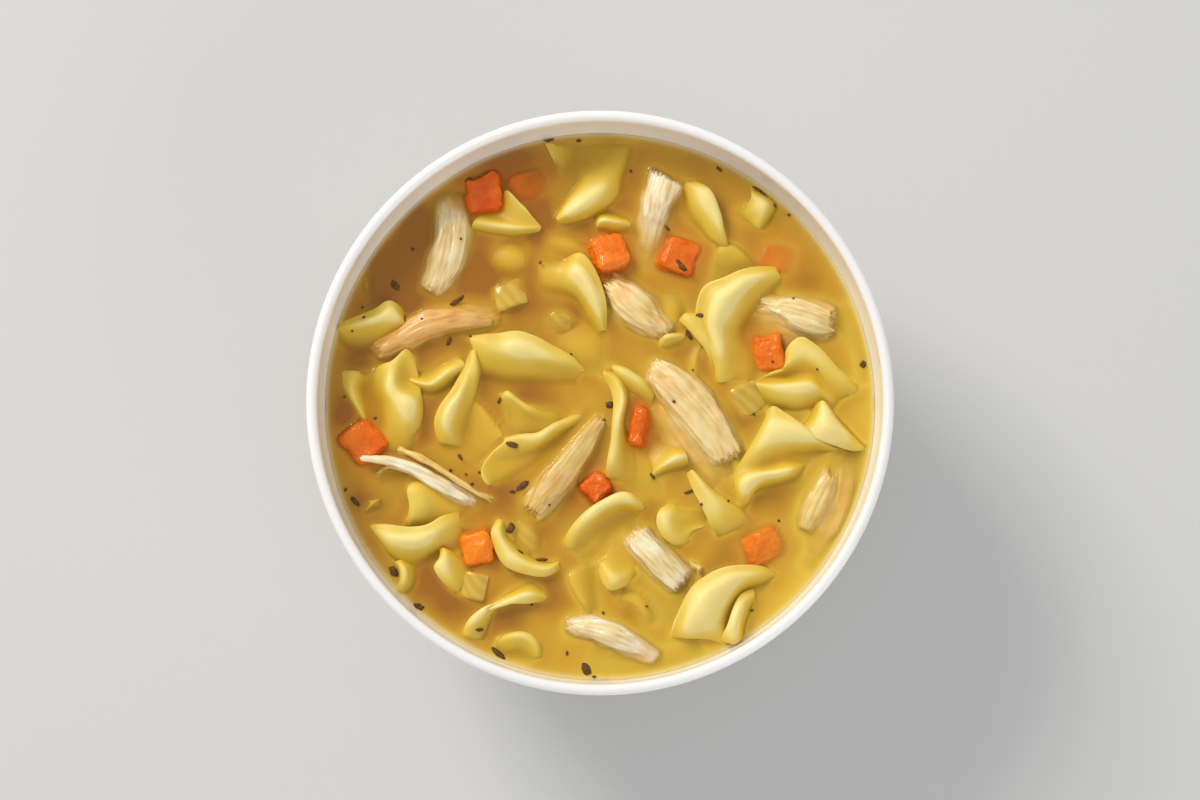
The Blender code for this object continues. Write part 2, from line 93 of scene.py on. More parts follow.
def new_finish(name, **sockets):
    """A material with one Principled shader, and that shader's values which are the same all over."""
    finish = bpy.data.materials.new(name)
    finish.use_nodes = True
    shader = finish.node_tree.nodes["Principled BSDF"]
    for socket, value in sockets.items():
        shader.inputs[socket.replace("_", " ")].default_value = value
    return finish, finish.node_tree, shader


def new_piece(name, bm, finish):
    """Closes the bmesh into a smooth piece that rides on the one body."""
    mesh = bpy.data.meshes.new(name)
    bm.to_mesh(mesh)
    bm.free()
    mesh.materials.append(finish)
    mesh.shade_smooth()
    piece = bpy.data.objects.new(name, mesh)
    bpy.context.scene.collection.objects.link(piece)
    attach(piece, "root")
    return piece


def wall_radius(height, radius, depth):
    """The radius, at a height, of a wall that hangs from the rim as a superellipse."""
    share = min(1.0, max(0.0, (BOWL_HEIGHT - height) / depth))
    return radius * (1 - share**BOWL_ROUNDNESS) ** (1 / BOWL_ROUNDNESS)


def wall_profile(radius, depth, lowest, highest, steps):
    """Points down a wall, closer together where it turns in to the floor."""
    heights = [highest - (highest - lowest) * math.sin(0.5 * math.pi * i / steps) for i in range(steps + 1)]
    return [(wall_radius(height, radius, depth), height) for height in heights]


def spin_profile(points, steps):
    """A closed solid turned from a profile that starts and ends on the axis."""
    bm = bmesh.new()
    verts = [bm.verts.new((r, 0, z)) for r, z in points]
    edges = [bm.edges.new(pair) for pair in zip(verts, verts[1:])]
    bmesh.ops.spin(bm, geom=verts + edges, axis=(0, 0, 1), angle=2 * math.pi, steps=steps, use_merge=True)
    bmesh.ops.remove_doubles(bm, verts=bm.verts[:], dist=1e-6)
    bmesh.ops.recalc_face_normals(bm, faces=bm.faces[:])
    return bm


lip = LIP_WIDTH / 2
lip_start = BOWL_HEIGHT - lip
bowl_profile = wall_profile(INNER_RADIUS, INNER_DEPTH, BOWL_FLOOR, lip_start, INNER_STEPS)[::-1]
for turn in range(180 - LIP_STEP, 0, -LIP_STEP):
    angle = math.radians(turn)
    bowl_profile.append((RIM_RADIUS - lip + lip * math.cos(angle), lip_start + lip * math.sin(angle)))
outer_depth = BOWL_HEIGHT - BOWL_UNDERSIDE
foot_share = (1 - (FOOT_RADIUS / RIM_RADIUS) ** BOWL_ROUNDNESS) ** (1 / BOWL_ROUNDNESS)
foot_top = BOWL_HEIGHT - outer_depth * foot_share
bowl_profile += wall_profile(RIM_RADIUS, outer_depth, foot_top, lip_start, OUTER_STEPS)
foot_inside = FOOT_RADIUS - FOOT_WIDTH
bowl_profile += [
    (FOOT_RADIUS + FOOT_FLARE, foot_top - FOOT_SHOULDER),
    (FOOT_RADIUS, FOOT_CHAMFER),
    (FOOT_RADIUS - FOOT_CHAMFER, 0),
    (foot_inside + FOOT_CHAMFER, 0),
    (foot_inside, FOOT_CHAMFER),
    (foot_inside - 2 * FOOT_CHAMFER, foot_top - FOOT_ROOT),
    (0.6 * foot_inside, BOWL_UNDERSIDE + UNDERSIDE_RISE),
    (0, BOWL_UNDERSIDE),
]

# White porcelain under a clear glaze: a bright, even white with a sharp reflection over a soft body.
porcelain, tree, shader = new_finish(
    "glazed_porcelain",
    Roughness=0.28,
    IOR=1.5,
    Subsurface_Weight=0.5,
    Subsurface_Scale=3 * MM,
    Coat_Weight=0.6,
    Coat_Roughness=0.06,
)
shader.inputs["Subsurface Radius"].default_value = (1.0, 0.85, 0.65)
place = add_node(tree, "ShaderNodeTexCoord").outputs["Object"]
# The body's tone drifts a little over some 30 mm.
drift = add_node(tree, "ShaderNodeTexNoise", inputs={"Vector": place, "Scale": 35.0, "Detail": 2.0})
tone = add_node(tree, "ShaderNodeValToRGB", inputs={"Fac": drift.outputs["Fac"]})
tone.color_ramp.elements[0].color = tint("#f2f0ec")
tone.color_ramp.elements[1].color = tint("#f7f6f4")
tree.links.new(tone.outputs["Color"], shader.inputs["Base Color"])
# The glaze lies in faint waves about 6 mm long.
waves = add_node(tree, "ShaderNodeTexNoise", inputs={"Vector": place, "Scale": 160.0, "Detail": 1.0})
relief = add_node(
    tree, "ShaderNodeBump", inputs={"Height": waves.outputs["Fac"], "Strength": 0.05, "Distance": 0.1 * MM}
)
tree.links.new(relief.outputs["Normal"], shader.inputs["Normal"])

bowl = new_piece("porcelain_bowl", spin_profile(bowl_profile, ROUND_STEPS), porcelain)
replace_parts(bowl, "bowl")


# The egg noodles. Wide ribbons rolled from egg dough about 1.3 mm thick and cut across, which boil up soft,
# curl at their cut edges and float half out of the broth, held up by one another.
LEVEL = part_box("broth")[1].z
BOWL_MIDDLE = (BOWL_LOW + BOWL_HIGH) / 2
SHEET_THICKNESS = 1.2 * MM
RIM_THICKNESS = 0.55 * MM
SHEET_CELL = 1.15
BORDER_LIFT = 2.6
BORDER_FALL = 0.35
SUNK_BORDER = 1.0
LEE_WAY = (0.77, -0.64)
LEE_LEAST = 0.35
SLOPE_WIDTH = 2.2
SLOPE_FALL = 2.6
SUNK_SHALLOWNESS = 0.6
FOLD_SHARPNESS = 0.9
FOLD_ROUNDS = 16
# These spread the painted shade in a sheet's hollows and the painted highlights on its ridges and rims.
FOLD_DEPTH = 0.9 * MM
RIM_PAINTED_HIGHLIGHT = 0.9
RIM_ROUNDS = 3
RIM_SHARE, RIM_SPAN = 0.9, 0.3
WALL_GAP = 0.5 * MM
FOLD_REACH = 48
WRINKLE = (0.3 * MM, 6 * MM)

# Each sheet is a list of lines over its width, from one edge to the other. The points of a line run along the
# noodle: mm to the right of the bowl's middle, mm to its back, and mm over the broth.
NOODLE_SHEETS = {
    "noodle_01": [
        [(-34, 45, -1.8), (-28, 43.6, -1.4), (-22, 43.4, -1), (-15.5, 45, -0.2)],
        [(-33, 47.4, 0.8), (-27, 46.4, 1.7), (-21, 45.6, 1.9), (-15, 45.9, 1)],
        [(-31.6, 49.6, -1.4), (-27, 48.8, -0.2), (-22, 47.4, 1.2), (-15.2, 46.6, 1.3)],
        [(-30.6, 51.4, -3.2), (-26.6, 51.8, -1.6), (-22.6, 51.2, 1.2), (-17.4, 48.4, 2)],
        [(-30, 53, -4.5), (-26.6, 54.8, -3), (-24, 55.6, 1.4), (-19.8, 50.6, 2.2)],
    ],
    "noodle_02": [
        [(-13, 51, -5), (-11.5, 56, -3.4), (-10, 60, -0.8), (-12.6, 64.4, 0.4), (-14.6, 68.4, 0.6)],
        [(-12.5, 50, -3), (-10, 54, -2.6), (-7.6, 58.5, -2.4), (-6, 63, -1.8), (-5, 68.5, -1.5)],
        [(-11.6, 48.2, 0.8), (-8.2, 51.8, 2), (-4.2, 56.2, 1.4), (-1.6, 62, -0.8), (0.5, 68.5, -1.4)],
        [(-11.2, 47.5, 1.2), (-5.6, 50.6, 3.2), (0, 55.8, 2.4), (2.2, 61.5, 0.2), (4.4, 68.5, -0.8)],
        [(-10.6, 47, 0.4), (-3.6, 49.6, 1.2), (3.2, 54.4, 0.8), (5.4, 60.5, -0.6), (8, 68.8, -1.1)],
    ],
    "noodle_03": [
        [(-1, 45.4, -0.6), (0.6, 46.4, 0.2), (3.6, 46.1, 0.2), (8.2, 46, -0.6)],
        [(-0.9, 46.2, 0.6), (0.5, 47.8, 1.6), (3.8, 47.5, 1.5), (8.1, 46.8, 0.4)],
        [(-1.6, 47.4, -0.8), (0, 49.2, -0.2), (3.9, 49, -0.2), (8.3, 48, -0.8)],
        [(-2.4, 48.8, -3.2), (-0.5, 51.4, -3.2), (4, 51.2, -3.2), (8.4, 49.6, -3.4)],
    ],
    "noodle_04": [
        [(22.2, 59.4, -1.8), (28.2, 56.6, 0), (31.2, 50.7, 0.4), (32.2, 46, 0.2), (33.4, 41.2, -0.4)],
        [(22, 58.2, -0.2), (27, 55.4, 2.2), (29.6, 50.3, 2.8), (30.9, 45.8, 2.2), (32.9, 41.3, 0.4)],
        [(21.5, 56, -1), (25.4, 53.2, 1.6), (27.8, 49.2, 2), (29.6, 45.1, 1.4), (32.4, 41.2, 0.2)],
        [(20.8, 53, -3.5), (22.8, 50.4, -1.4), (25.4, 47.4, -0.2), (28.2, 43.8, 0.2), (32, 41, -0.4)],
        [(19.6, 50, -5), (21.4, 48.4, -4), (24.2, 45.8, -3), (27.4, 42.6, -2.6), (31.4, 40.4, -2.4)],
    ],
    "noodle_05": [
        [(39.4, 56.2, 0.4), (45, 52, 0.6), (41.6, 45.4, -0.4)],
        [(39.2, 55, 1.2), (43, 51.6, 2), (40.6, 46, 0.4)],
        [(38.8, 53.2, 0.8), (40, 50.8, 1.2), (38.2, 47, -1.2)],
        [(37.4, 52, -1), (36, 50.4, -1.6), (35.2, 47.6, -3)],
        [(35, 52, -3.2), (33, 50.6, -4), (32.8, 48.4, -4.8)],
    ],
    "noodle_06": [
        [(-69.4, 20.2, -0.4), (-64.4, 22.6, -0.2), (-59, 24.6, 0), (-54.4, 27, 0.4), (-50.4, 24.6, -0.6)],
        [(-69, 19.9, 0.4), (-63.6, 21.6, 1.4), (-58.2, 23.4, 1.8), (-54, 25.8, 2), (-50.6, 23, 0.6)],
        [(-67.8, 19.5, 0.6), (-62.5, 20.6, 1.9), (-57.4, 21.8, 2.5), (-53.8, 23.2, 2.6), (-50.5, 21.8, 1)],
        [(-67.4, 18.9, 0.2), (-62, 19.2, 0.7), (-57, 20.2, 1), (-53.5, 20.7, 1.2), (-50.3, 20.4, 0.4)],
        [(-68, 17.6, -1), (-64.6, 16.4, -0.9), (-60.4, 15.6, -1.2), (-56.6, 16.6, -2), (-52.4, 17.6, -3)],
        [(-68, 15, -2.6), (-65, 13.4, -2.4), (-61, 12, -3), (-58, 12, -4), (-55, 13, -5)],
    ],
    "noodle_07": [
        [(-67.2, 8.8, -0.2), (-63.5, 8.9, 0), (-60, 8.8, -0.8), (-56.5, 10.4, 0.2), (-53.5, 11.4, 0.4),
         (-50, 15, 0.2),
         (-47, 11.8, -0.4)],
        [(-66.8, 7.6, 0.6), (-63.5, 7.4, 1.2), (-60, 7.4, -0.2), (-56.5, 8.8, 1.2), (-53.5, 9.6, 2),
         (-50.2, 12.6, 1.6),
         (-47.2, 10, 0.6)],
        [(-66.8, 5, 0.6), (-64, 4.8, 1.4), (-60.5, 4.6, -1), (-56.8, 4.8, 0.8), (-53.8, 5, 2.6),
         (-50.3, 6.2, 0.8),
         (-46.4, 5.6, 0.8)],
        [(-65, 1.6, 0.3), (-63.2, 1.2, 1.3), (-60, 1, -1.4), (-57, 0.5, -0.6), (-53.4, 0.8, 2),
         (-49.5, 0.6, 3),
         (-45.4, 0.3, 1)],
        [(-62.4, -2.6, 0), (-61.2, -2.6, 0.4), (-59.2, -3, -1.8), (-57, -3.5, -1.6), (-53.8, -3.5, 0.8),
         (-49.5, -3.4, 2.2), (-45.8, -3.8, 0.7)],
        [(-61, -6, -2.5), (-59.5, -6.5, -2.6), (-57.8, -7, -2.6), (-56, -7.5, -1.4), (-53.5, -8, -0.2),
         (-50, -8.2, 0.3),
         (-46.9, -7.8, -0.5)],
        [(-60, -10, -4), (-58.5, -11, -4), (-57, -12, -3.4), (-55.5, -12.5, -2.2), (-53, -13, -1.5),
         (-50, -13, -1.5),
         (-47.4, -12, -2.4)],
    ],
    "noodle_08": [
        [(-49.6, 5.4, -1), (-46.6, 4.2, -0.1), (-44, 3.7, 0.2), (-41.2, 4.6, 0.2), (-38, 7.2, 0.1),
         (-34.4, 8.8, -0.3)],
        [(-49.6, 6.3, 0), (-46.8, 5.4, 1.1), (-44.2, 4.9, 1.7), (-42.1, 5.8, 1.7), (-38.9, 8.5, 1.5),
         (-34.9, 10.3, 0.8)],
        [(-49.6, 7.4, -0.4), (-47, 6.8, 0.2), (-44.6, 6.6, 0.5), (-43, 7.4, 0.5), (-39.8, 9.8, 0.5),
         (-35.6, 11.8, 0.2)],
        [(-49.6, 9.4, -2.4), (-47.2, 9.2, -2.2), (-45.2, 9.4, -2), (-43.8, 10, -1.8), (-41, 12, -1.5),
         (-36.6, 14, -1.2)],
    ],
    "noodle_09": [
        [(-33.8, 13.8, -0.4), (-35.5, 9.4, -0.2), (-38.4, 4.2, 0), (-41.7, -0.8, 0), (-42.9, -5, 0),
         (-42, -10.4, -0.6)],
        [(-33.4, 14.2, 0.5), (-34.8, 9.2, 1.4), (-37.4, 3.8, 1.8), (-40.5, -1, 2), (-41.6, -5.1, 1.8),
         (-41, -10.2, 0.4)],
        [(-32.9, 14.4, 0.9), (-33.8, 9, 1.8), (-35.8, 3.2, 2.6), (-38.6, -1.6, 3), (-39.5, -5.6, 2.4),
         (-39, -10.6, 0.2)],
        [(-32.4, 14.5, 0.9), (-32.7, 9, 1.8), (-33.9, 3, 1.6), (-36.4, -2.2, 1.4), (-37.2, -6.4, 0.8),
         (-36.8, -11, -0.6)],
        [(-31.9, 14.2, 0.6), (-31.6, 9, 1.2), (-32.3, 3, 0.6), (-34.4, -3, -0.2), (-35.2, -7.2, -0.8),
         (-34.8, -11.6, -1.6)],
        [(-31.2, 13.6, -1.8), (-30.7, 9, -1.8), (-31.1, 3, -1.8), (-32.8, -3.8, -2), (-33.4, -8, -2.4),
         (-33, -12.4, -3)],
    ],
    "noodle_10": [
        [(-34.4, 18.2, -0.6), (-28, 18.5, -0.2), (-20.6, 19, 0.4), (-12.8, 15.8, 0.2), (-6.8, 12.6, 0),
         (-3.2, 9.2, -0.4)],
        [(-34, 17, 0.5), (-28, 17, 1.6), (-20.4, 17.2, 2.7), (-13.2, 14.2, 2.2), (-7.2, 11.2, 1.5),
         (-3.7, 8.5, 0.3)],
        [(-33, 14.6, 0.6), (-27, 14.2, 2), (-20, 14.2, 3.2), (-13.8, 12, 2.2), (-8, 10, 1.1),
         (-4.1, 8.2, 0.1)],
        [(-32, 11.8, 0), (-26.5, 10.8, 0.8), (-19.5, 10.6, 1.3), (-14.2, 9.4, 0.5), (-9, 8.4, -0.1),
         (-4.6, 7.6, -0.5)],
        [(-31.5, 8.6, -1.8), (-26, 7.4, -1.2), (-19, 7, -1), (-14.6, 6.6, -1.4), (-10, 6.2, -1.8),
         (-5.4, 6.4, -2)],
        [(-31, 5.6, -4.6), (-25.4, 4.2, -4.2), (-18.6, 3.8, -4), (-14.6, 3.8, -4), (-10.4, 4, -4),
         (-6, 5, -4)],
    ],
    "noodle_11": [
        [(-17, 39.4, -3.4), (-10.4, 38.2, -1.8), (-5.1, 39.6, -0.4), (-0.7, 34, 0), (1.7, 26.7, 0.2),
         (2.1, 18.6, -0.6)],
        [(-16.5, 37.4, -2), (-10.5, 36, -0.2), (-5.9, 37.4, 1.7), (-1.9, 32.8, 2.4), (0.5, 26.2, 2.4),
         (1.5, 19, 0.6)],
        [(-16.5, 35, -1.6), (-10.5, 33.8, 0.3), (-6.3, 34.2, 2.8), (-3.1, 30.8, 3.4), (-0.8, 25.2, 2.8),
         (0.9, 19, 0.7)],
        [(-16, 32, -1.8), (-10.6, 31, -0.4), (-6.8, 30.2, 1), (-4.3, 27.4, 1.4), (-2.2, 23.4, 1),
         (0.2, 18.8, 0.2)],
        [(-15.5, 28.5, -3), (-11, 27.5, -2.8), (-7.6, 26.6, -2), (-5.4, 24, -1.6), (-3.4, 21, -1.6),
         (-0.8, 17.8, -2)],
    ],
    "noodle_12": [
        [(14.4, 15.8, -0.8), (15.9, 17.8, -0.2), (18.4, 18.7, 0), (22.6, 19.1, -0.6)],
        [(15.2, 15.1, 0.3), (16.8, 16.8, 1.2), (18.6, 17.5, 1.5), (22.4, 18, 0.6)],
        [(16.2, 14.4, -0.8), (17.6, 15.7, 0), (19, 16.4, 0.2), (22.2, 16.9, -0.3)],
        [(17.6, 13, -3), (18.8, 13.8, -2.8), (20, 14.4, -2.8), (22, 15, -2.8)],
    ],
    "noodle_13": [
        [(-26.2, 2.4, -0.6), (-23.9, 3.8, -0.2), (-21.2, 1.9, -0.2), (-18.6, 0.1, -0.4),
         (-14.8, -0.4, -1.4), (-10, -1, -2.6)],
        [(-25.4, 1.4, 0.7), (-23.6, 2.2, 1.7), (-21.1, 0.4, 1.5), (-18.5, -1.4, 1.1), (-14.6, -1.8, -0.2),
         (-9.8, -2, -1.6)],
        [(-24.8, -0.2, 0.1), (-22.8, -0.1, 0.6), (-20.4, -1.6, 0.5), (-17.8, -3.4, 0), (-13.8, -4.2, -0.7),
         (-9.4, -4, -1.5)],
        [(-24.6, -3.6, -0.9), (-22.4, -3.6, -0.7), (-19.8, -4.4, -0.7), (-17, -5.6, -0.9),
         (-13.2, -6.2, -1.3),
         (-9.4, -5.4, -2.2)],
        [(-24.6, -7.4, -1.6), (-22.4, -7.4, -1.2), (-19.6, -7.6, -1.2), (-16.8, -7.8, -1.6),
         (-13.4, -7.8, -2.4),
         (-10, -6.8, -3.4)],
    ],
    "noodle_14": [
        [(0.2, 6.8, -0.6), (2.2, 4.4, -0.4), (3.2, 0.6, 0), (2.9, -4.6, 0.2), (2.4, -10, 0.2),
         (1.6, -15, 0), (1, -19, -0.6)],
        [(0.4, 7.8, 0.3), (3.3, 5.6, 1.3), (4.8, 1.2, 2.2), (4, -4.6, 2.6), (3.6, -10, 2.4), (3, -15, 2),
         (2.1, -19.2, 0.3)],
        [(0.6, 8.5, 0.3), (4.4, 6.6, 1.3), (6.2, 1.5, 2.2), (5.1, -4.7, 2.3), (4.9, -10.2, 1.8),
         (4.8, -15.2, 1.2),
         (3.4, -19.6, 0)],
        [(0.8, 9.1, -0.3), (5.3, 7.4, 0.2), (7.2, 1.7, 0.4), (5.9, -4.8, 0.6), (6.1, -10.6, 0.2),
         (6.8, -15.8, 0),
         (5.4, -20.4, -1)],
        [(1.2, 10, -2.6), (6.2, 8.2, -2.6), (8.4, 1.7, -2.8), (7.4, -4.8, -2.8), (8.8, -11, -1.8),
         (10.2, -17, -1.6),
         (8.6, -21.6, -2.2)],
    ],
    "noodle_15": [
        [(2.8, 10.8, -0.6), (6.6, 9.6, -0.2), (10.8, 7.2, -0.2), (15, 4, -1)],
        [(3, 9.5, 0.7), (6.2, 8.2, 1.8), (9.9, 5.8, 1.7), (14.3, 2.4, 0.2)],
        [(3.4, 8.2, 0.2), (5.8, 6.6, 0.9), (9, 4.1, 0.7), (13.6, 0.6, -0.5)],
        [(3.6, 6.6, -1.8), (5.6, 4.6, -1.4), (8.6, 2, -1.4), (13, -1.4, -2.2)],
    ],
    "noodle_16": [
        [(46, 36, -0.4), (39.7, 36, 0.2), (32.3, 33.1, 0.4), (26.2, 29.9, 0.2), (24.7, 20.8, 0),
         (28.2, 13.8, 0.2),
         (30.1, 5.4, -0.2)],
        [(46.1, 35, 0.8), (40.2, 34.6, 2.2), (33.4, 31.6, 2.9), (28, 28.4, 2.4), (26.8, 20.4, 1.8),
         (29.6, 13.6, 2.2),
         (30.9, 5.6, 0.8)],
        [(46.5, 34, 0.9), (41, 32.8, 2.6), (35, 29.6, 4), (30.6, 25.4, 4), (29.6, 19.4, 3.2), (31.6, 13, 2.2),
         (32.4, 5.8, 0.5)],
        [(47, 33.2, 0.4), (41.8, 30.6, 1), (37.4, 27.6, 2), (33.4, 23.2, 2.8), (32.8, 18.8, 1.6),
         (34.6, 12.6, 0.6),
         (35.4, 6, -0.6)],
        [(47.4, 32.2, -1.4), (42.6, 28.8, -0.6), (39.2, 25.8, 0.2), (35.6, 21.6, 0.8), (35.8, 17.8, -0.4),
         (38, 12.2, -1.2), (38.8, 6.2, -1.8)],
        [(48.2, 31, -3.6), (43.8, 27, -3.2), (41.4, 24, -3), (38.4, 20.2, -2.8), (39, 16.2, -3.2),
         (41, 11.6, -3.4),
         (41.4, 6.4, -3.8)],
    ],
    "noodle_17": [
        [(20, 21.8, -0.2), (22.2, 19.6, 0.2), (24.6, 16.8, 0.4), (27.4, 13.6, 0.2), (29.4, 8, -0.6)],
        [(20.9, 22.9, 1), (23.2, 21, 2), (25.8, 18.2, 2.2), (28.4, 15, 1.8), (30.2, 8.6, 0.4)],
        [(22, 23.9, 0.9), (24.4, 22.2, 1.8), (27, 19.6, 1.9), (29.6, 16.2, 1.6), (31.2, 9.4, 0.4)],
        [(23.2, 24.2, -0.8), (25.6, 23.2, -0.2), (28.4, 20.8, 0), (30.8, 17.2, 0.4), (32.4, 10.2, -0.2)],
    ],
    "noodle_18": [
        [(46.9, 10.8, -0.8), (48.2, 15, -0.4), (52, 17.7, 0), (56.6, 15, 0), (61.6, 9.7, 0), (67.6, 4, -0.6)],
        [(47.4, 9.4, 0.7), (49, 13, 1.9), (52, 15, 2.4), (55.6, 12.6, 2.4), (60.4, 8, 1.8), (66.2, 2.8, 0.4)],
        [(45.4, 8, 0.7), (48.8, 10, 1.6), (52, 11.6, 2), (55, 10, 1.8), (59, 6, 1.2), (64, 1.6, 0)],
        [(40.6, 6.6, -0.1), (45, 7, 0.1), (50, 7.6, 0.1), (55, 7.8, 0.5), (58.4, 4.4, 0.4),
         (62.4, 0.6, -0.7)],
        [(40, 5.4, 0.6), (44.4, 4.9, 1.8), (49.4, 5.2, 2.4), (54.4, 5.2, 2.2), (58, 2.8, 0.8),
         (61.6, -0.6, -1)],
        [(40.8, 3.4, 0.2), (44.8, 2.2, 1.3), (49.6, 2, 1.8), (54.2, 2.4, 1.4), (57.6, 1, 0),
         (60.8, -1.6, -1.6)],
        [(42, 1.6, -1), (45.4, 0, 0.1), (50, -0.9, 0.4), (54, -0.2, 0), (57.4, -0.4, -1.2),
         (60.4, -2.6, -2.4)],
        [(43, -0.6, -3), (46, -2, -2.4), (50, -2.6, -2.4), (54, -2, -2.6), (57.2, -2.2, -3.4),
         (60, -3.8, -4)],
    ],
    "noodle_19": [
        [(-48.8, -19.8, -0.6), (-49.9, -22.4, 0), (-49.2, -26, 0.2), (-49.5, -29, 0), (-51.4, -32, -1.4)],
        [(-47.8, -19.7, 0.4), (-48.3, -22.5, 1.4), (-47.6, -26, 1.8), (-47.8, -29.1, 1.2),
         (-49.6, -32.2, -0.4)],
        [(-46, -19.7, 0.5), (-46.2, -22.7, 1.4), (-45.4, -26.2, 1.5), (-45.6, -29.3, 0.7),
         (-47.2, -32.3, -0.8)],
        [(-42.6, -20, 0), (-42.6, -23.2, 0.4), (-42, -26.6, 0.3), (-42.2, -29.5, -0.3), (-44, -31.8, -1.3)],
        [(-38, -21.4, -1.3), (-38, -24.2, -1.2), (-38, -27.2, -1), (-38.5, -29.6, -1.4), (-40, -31.3, -2)],
        [(-33, -23, -2.6), (-33, -25.4, -2.6), (-33.5, -27.6, -2.6), (-35, -29.2, -2.8), (-37, -30.8, -3)],
    ],
    "noodle_20": [
        [(-60, -31, -0.4), (-56.2, -30.9, 0), (-50.6, -31.5, 0.2), (-44.8, -31.2, 0.2), (-40.2, -28.6, 0),
         (-35.6, -27, -0.8)],
        [(-59.2, -31.8, 0.6), (-55.8, -32.6, 1.8), (-50.5, -33.2, 2.8), (-45, -32.9, 2.8),
         (-40.4, -30.3, 2), (-35.8, -28.6, 0.4)],
        [(-58.4, -32.8, 0.8), (-55, -34.6, 2.2), (-50.3, -35.3, 3.4), (-45, -34.8, 3.2), (-40.1, -32, 2.1),
         (-35.5, -30, 0.4)],
        [(-57.4, -34.2, 0.5), (-54.3, -36.8, 1.4), (-50.1, -38, 2), (-45, -37.2, 1.9), (-39.9, -34.4, 1),
         (-35.1, -32, -0.2)],
        [(-56.6, -35.6, -0.5), (-53.6, -39, -0.3), (-49.9, -40.5, 0), (-44.9, -39.6, -0.2),
         (-39.8, -36.8, -0.6),
         (-34.8, -34.2, -1.3)],
        [(-56, -37, -2.6), (-52.8, -41.2, -2.8), (-49.5, -43, -2.8), (-44.6, -42.2, -3), (-39.4, -39.4, -3.2),
         (-34.4, -36.8, -3.6)],
    ],
    "noodle_21": [
        [(-24.9, -8.2, -0.4), (-20.4, -7.5, 0), (-16, -7.3, 0.2), (-12, -4.7, 0), (-8.4, -3.2, -0.5),
         (-4.8, -1, -1)],
        [(-25, -9.5, 1), (-20.6, -8.9, 1.9), (-15.8, -8.8, 2.2), (-11.9, -6.2, 1.9), (-8.1, -4.7, 1),
         (-4.6, -2.6, 0.1)],
        [(-26.6, -11.2, 0.9), (-22, -10.9, 1.2), (-17, -10.8, 1.2), (-12.8, -8.4, 0.7), (-8.8, -6.4, 0),
         (-5, -4.4, -1)],
        [(-29.4, -14.2, 0.6), (-25, -13.9, 0.2), (-20, -13.3, -0.2), (-15, -11.4, -1), (-10.6, -9, -2),
         (-6.4, -6.6, -3)],
        [(-30.8, -17.6, 0.9), (-27, -17, 0), (-22, -16.2, -0.8), (-17, -14.4, -1.8), (-12.6, -11.6, -2.8),
         (-8, -8.6, -4)],
        [(-28.8, -20.9, 1), (-26, -20.4, -1), (-21.6, -19.2, -2), (-17.6, -17, -3.2), (-14, -14, -4.4),
         (-9.6, -11, -5)],
    ],
    "noodle_22": [
        [(-9.6, -36.8, -0.8), (-8.9, -33.8, -0.3), (-5.8, -29.3, 0), (-0.3, -25, 0.2), (6, -22.4, 0.2),
         (12.6, -25.2, -0.8)],
        [(-8.7, -37.1, 0.4), (-7.9, -34.2, 1.5), (-4.9, -30.3, 2.4), (0.2, -26.3, 2.9), (6, -24, 2.7),
         (12, -26.4, 0.6)],
        [(-7.7, -37.5, 0.3), (-6.7, -34.7, 1.3), (-3.9, -31.2, 2), (0.8, -27.4, 2.3), (6, -25.4, 2.1),
         (11.4, -27.5, 0.2)],
        [(-6.7, -38.2, -0.6), (-5.4, -35.6, 0), (-2.6, -32.4, 0.4), (1.4, -28.9, 0.5), (5.9, -27, 0.2),
         (10.6, -28.9, -1.2)],
        [(-5.4, -39.8, -1.4), (-3.8, -37.2, -1.1), (-1, -34, -0.9), (2.4, -31, -1), (5.8, -29.4, -1.6),
         (9.4, -30.6, -2.8)],
        [(-3.6, -42.6, -2.2), (-1.6, -40, -1.8), (1, -36.8, -1.4), (3.8, -34, -1.8), (6.2, -32.6, -3),
         (8.4, -33, -4.4)],
    ],
    "noodle_23": [
        [(13, -19.4, -1.2), (16.2, -17.3, -0.3), (19.6, -15.8, 0.2), (22.8, -15, 0)],
        [(13.4, -18, 0.1), (16.5, -15.9, 1.4), (19.6, -14.3, 2.1), (22.7, -13.8, 1.4)],
        [(13.5, -16.4, -0.3), (16.6, -14.2, 0.6), (19.5, -12.8, 1.1), (22.4, -12.6, 0.8)],
        [(12.6, -13.6, -1.6), (15.6, -11.8, -1.1), (18.4, -10.6, -0.9), (21.4, -10.8, -1)],
        [(11, -10.6, -3), (14, -9, -2.8), (17, -8.2, -2.8), (20, -8.4, -2.8)],
    ],
    "noodle_24": [
        [(-26.2, -29, -0.3), (-28.2, -32.8, 0.1), (-27.3, -37.2, 0.2), (-24.7, -41.7, 0.2),
         (-19.2, -44, 0.2), (-13.6, -44.6, 0),
         (-9.8, -42, -0.6)],
        [(-25.7, -29.4, 0.8), (-26.9, -33.1, 1.9), (-25.9, -37, 2.2), (-23.5, -40.5, 2.4),
         (-18.7, -42.5, 2.2),
         (-13.6, -43.3, 1.8), (-10.4, -41.5, 0.6)],
        [(-25.1, -29.6, 0.8), (-25.4, -33.5, 1.9), (-24.2, -36.6, 2.2), (-22, -39.2, 2.3), (-18, -41.2, 2.1),
         (-13.3, -42.2, 1.7), (-10.5, -40.9, 0.6)],
        [(-24.4, -30, -0.3), (-24, -33.9, 0.3), (-22.7, -36, 0.6), (-20.8, -38, 0.6), (-17.2, -40, 0.5),
         (-13.1, -41.1, 0.3),
         (-10.5, -40.2, -0.4)],
        [(-23.8, -30.4, -2.6), (-23, -34, -2.6), (-21.6, -35.4, -2.6), (-19.8, -37, -2.6),
         (-16.7, -38.9, -2.6),
         (-12.9, -40, -2.6), (-10.6, -39.4, -2.8)],
    ],
    "noodle_25": [
        [(20, -24.6, -0.8), (15.6, -26.5, 0), (14.2, -30, 0.2), (15.6, -33.9, 0.1), (19.2, -36.6, -0.3),
         (23.8, -36, -0.6)],
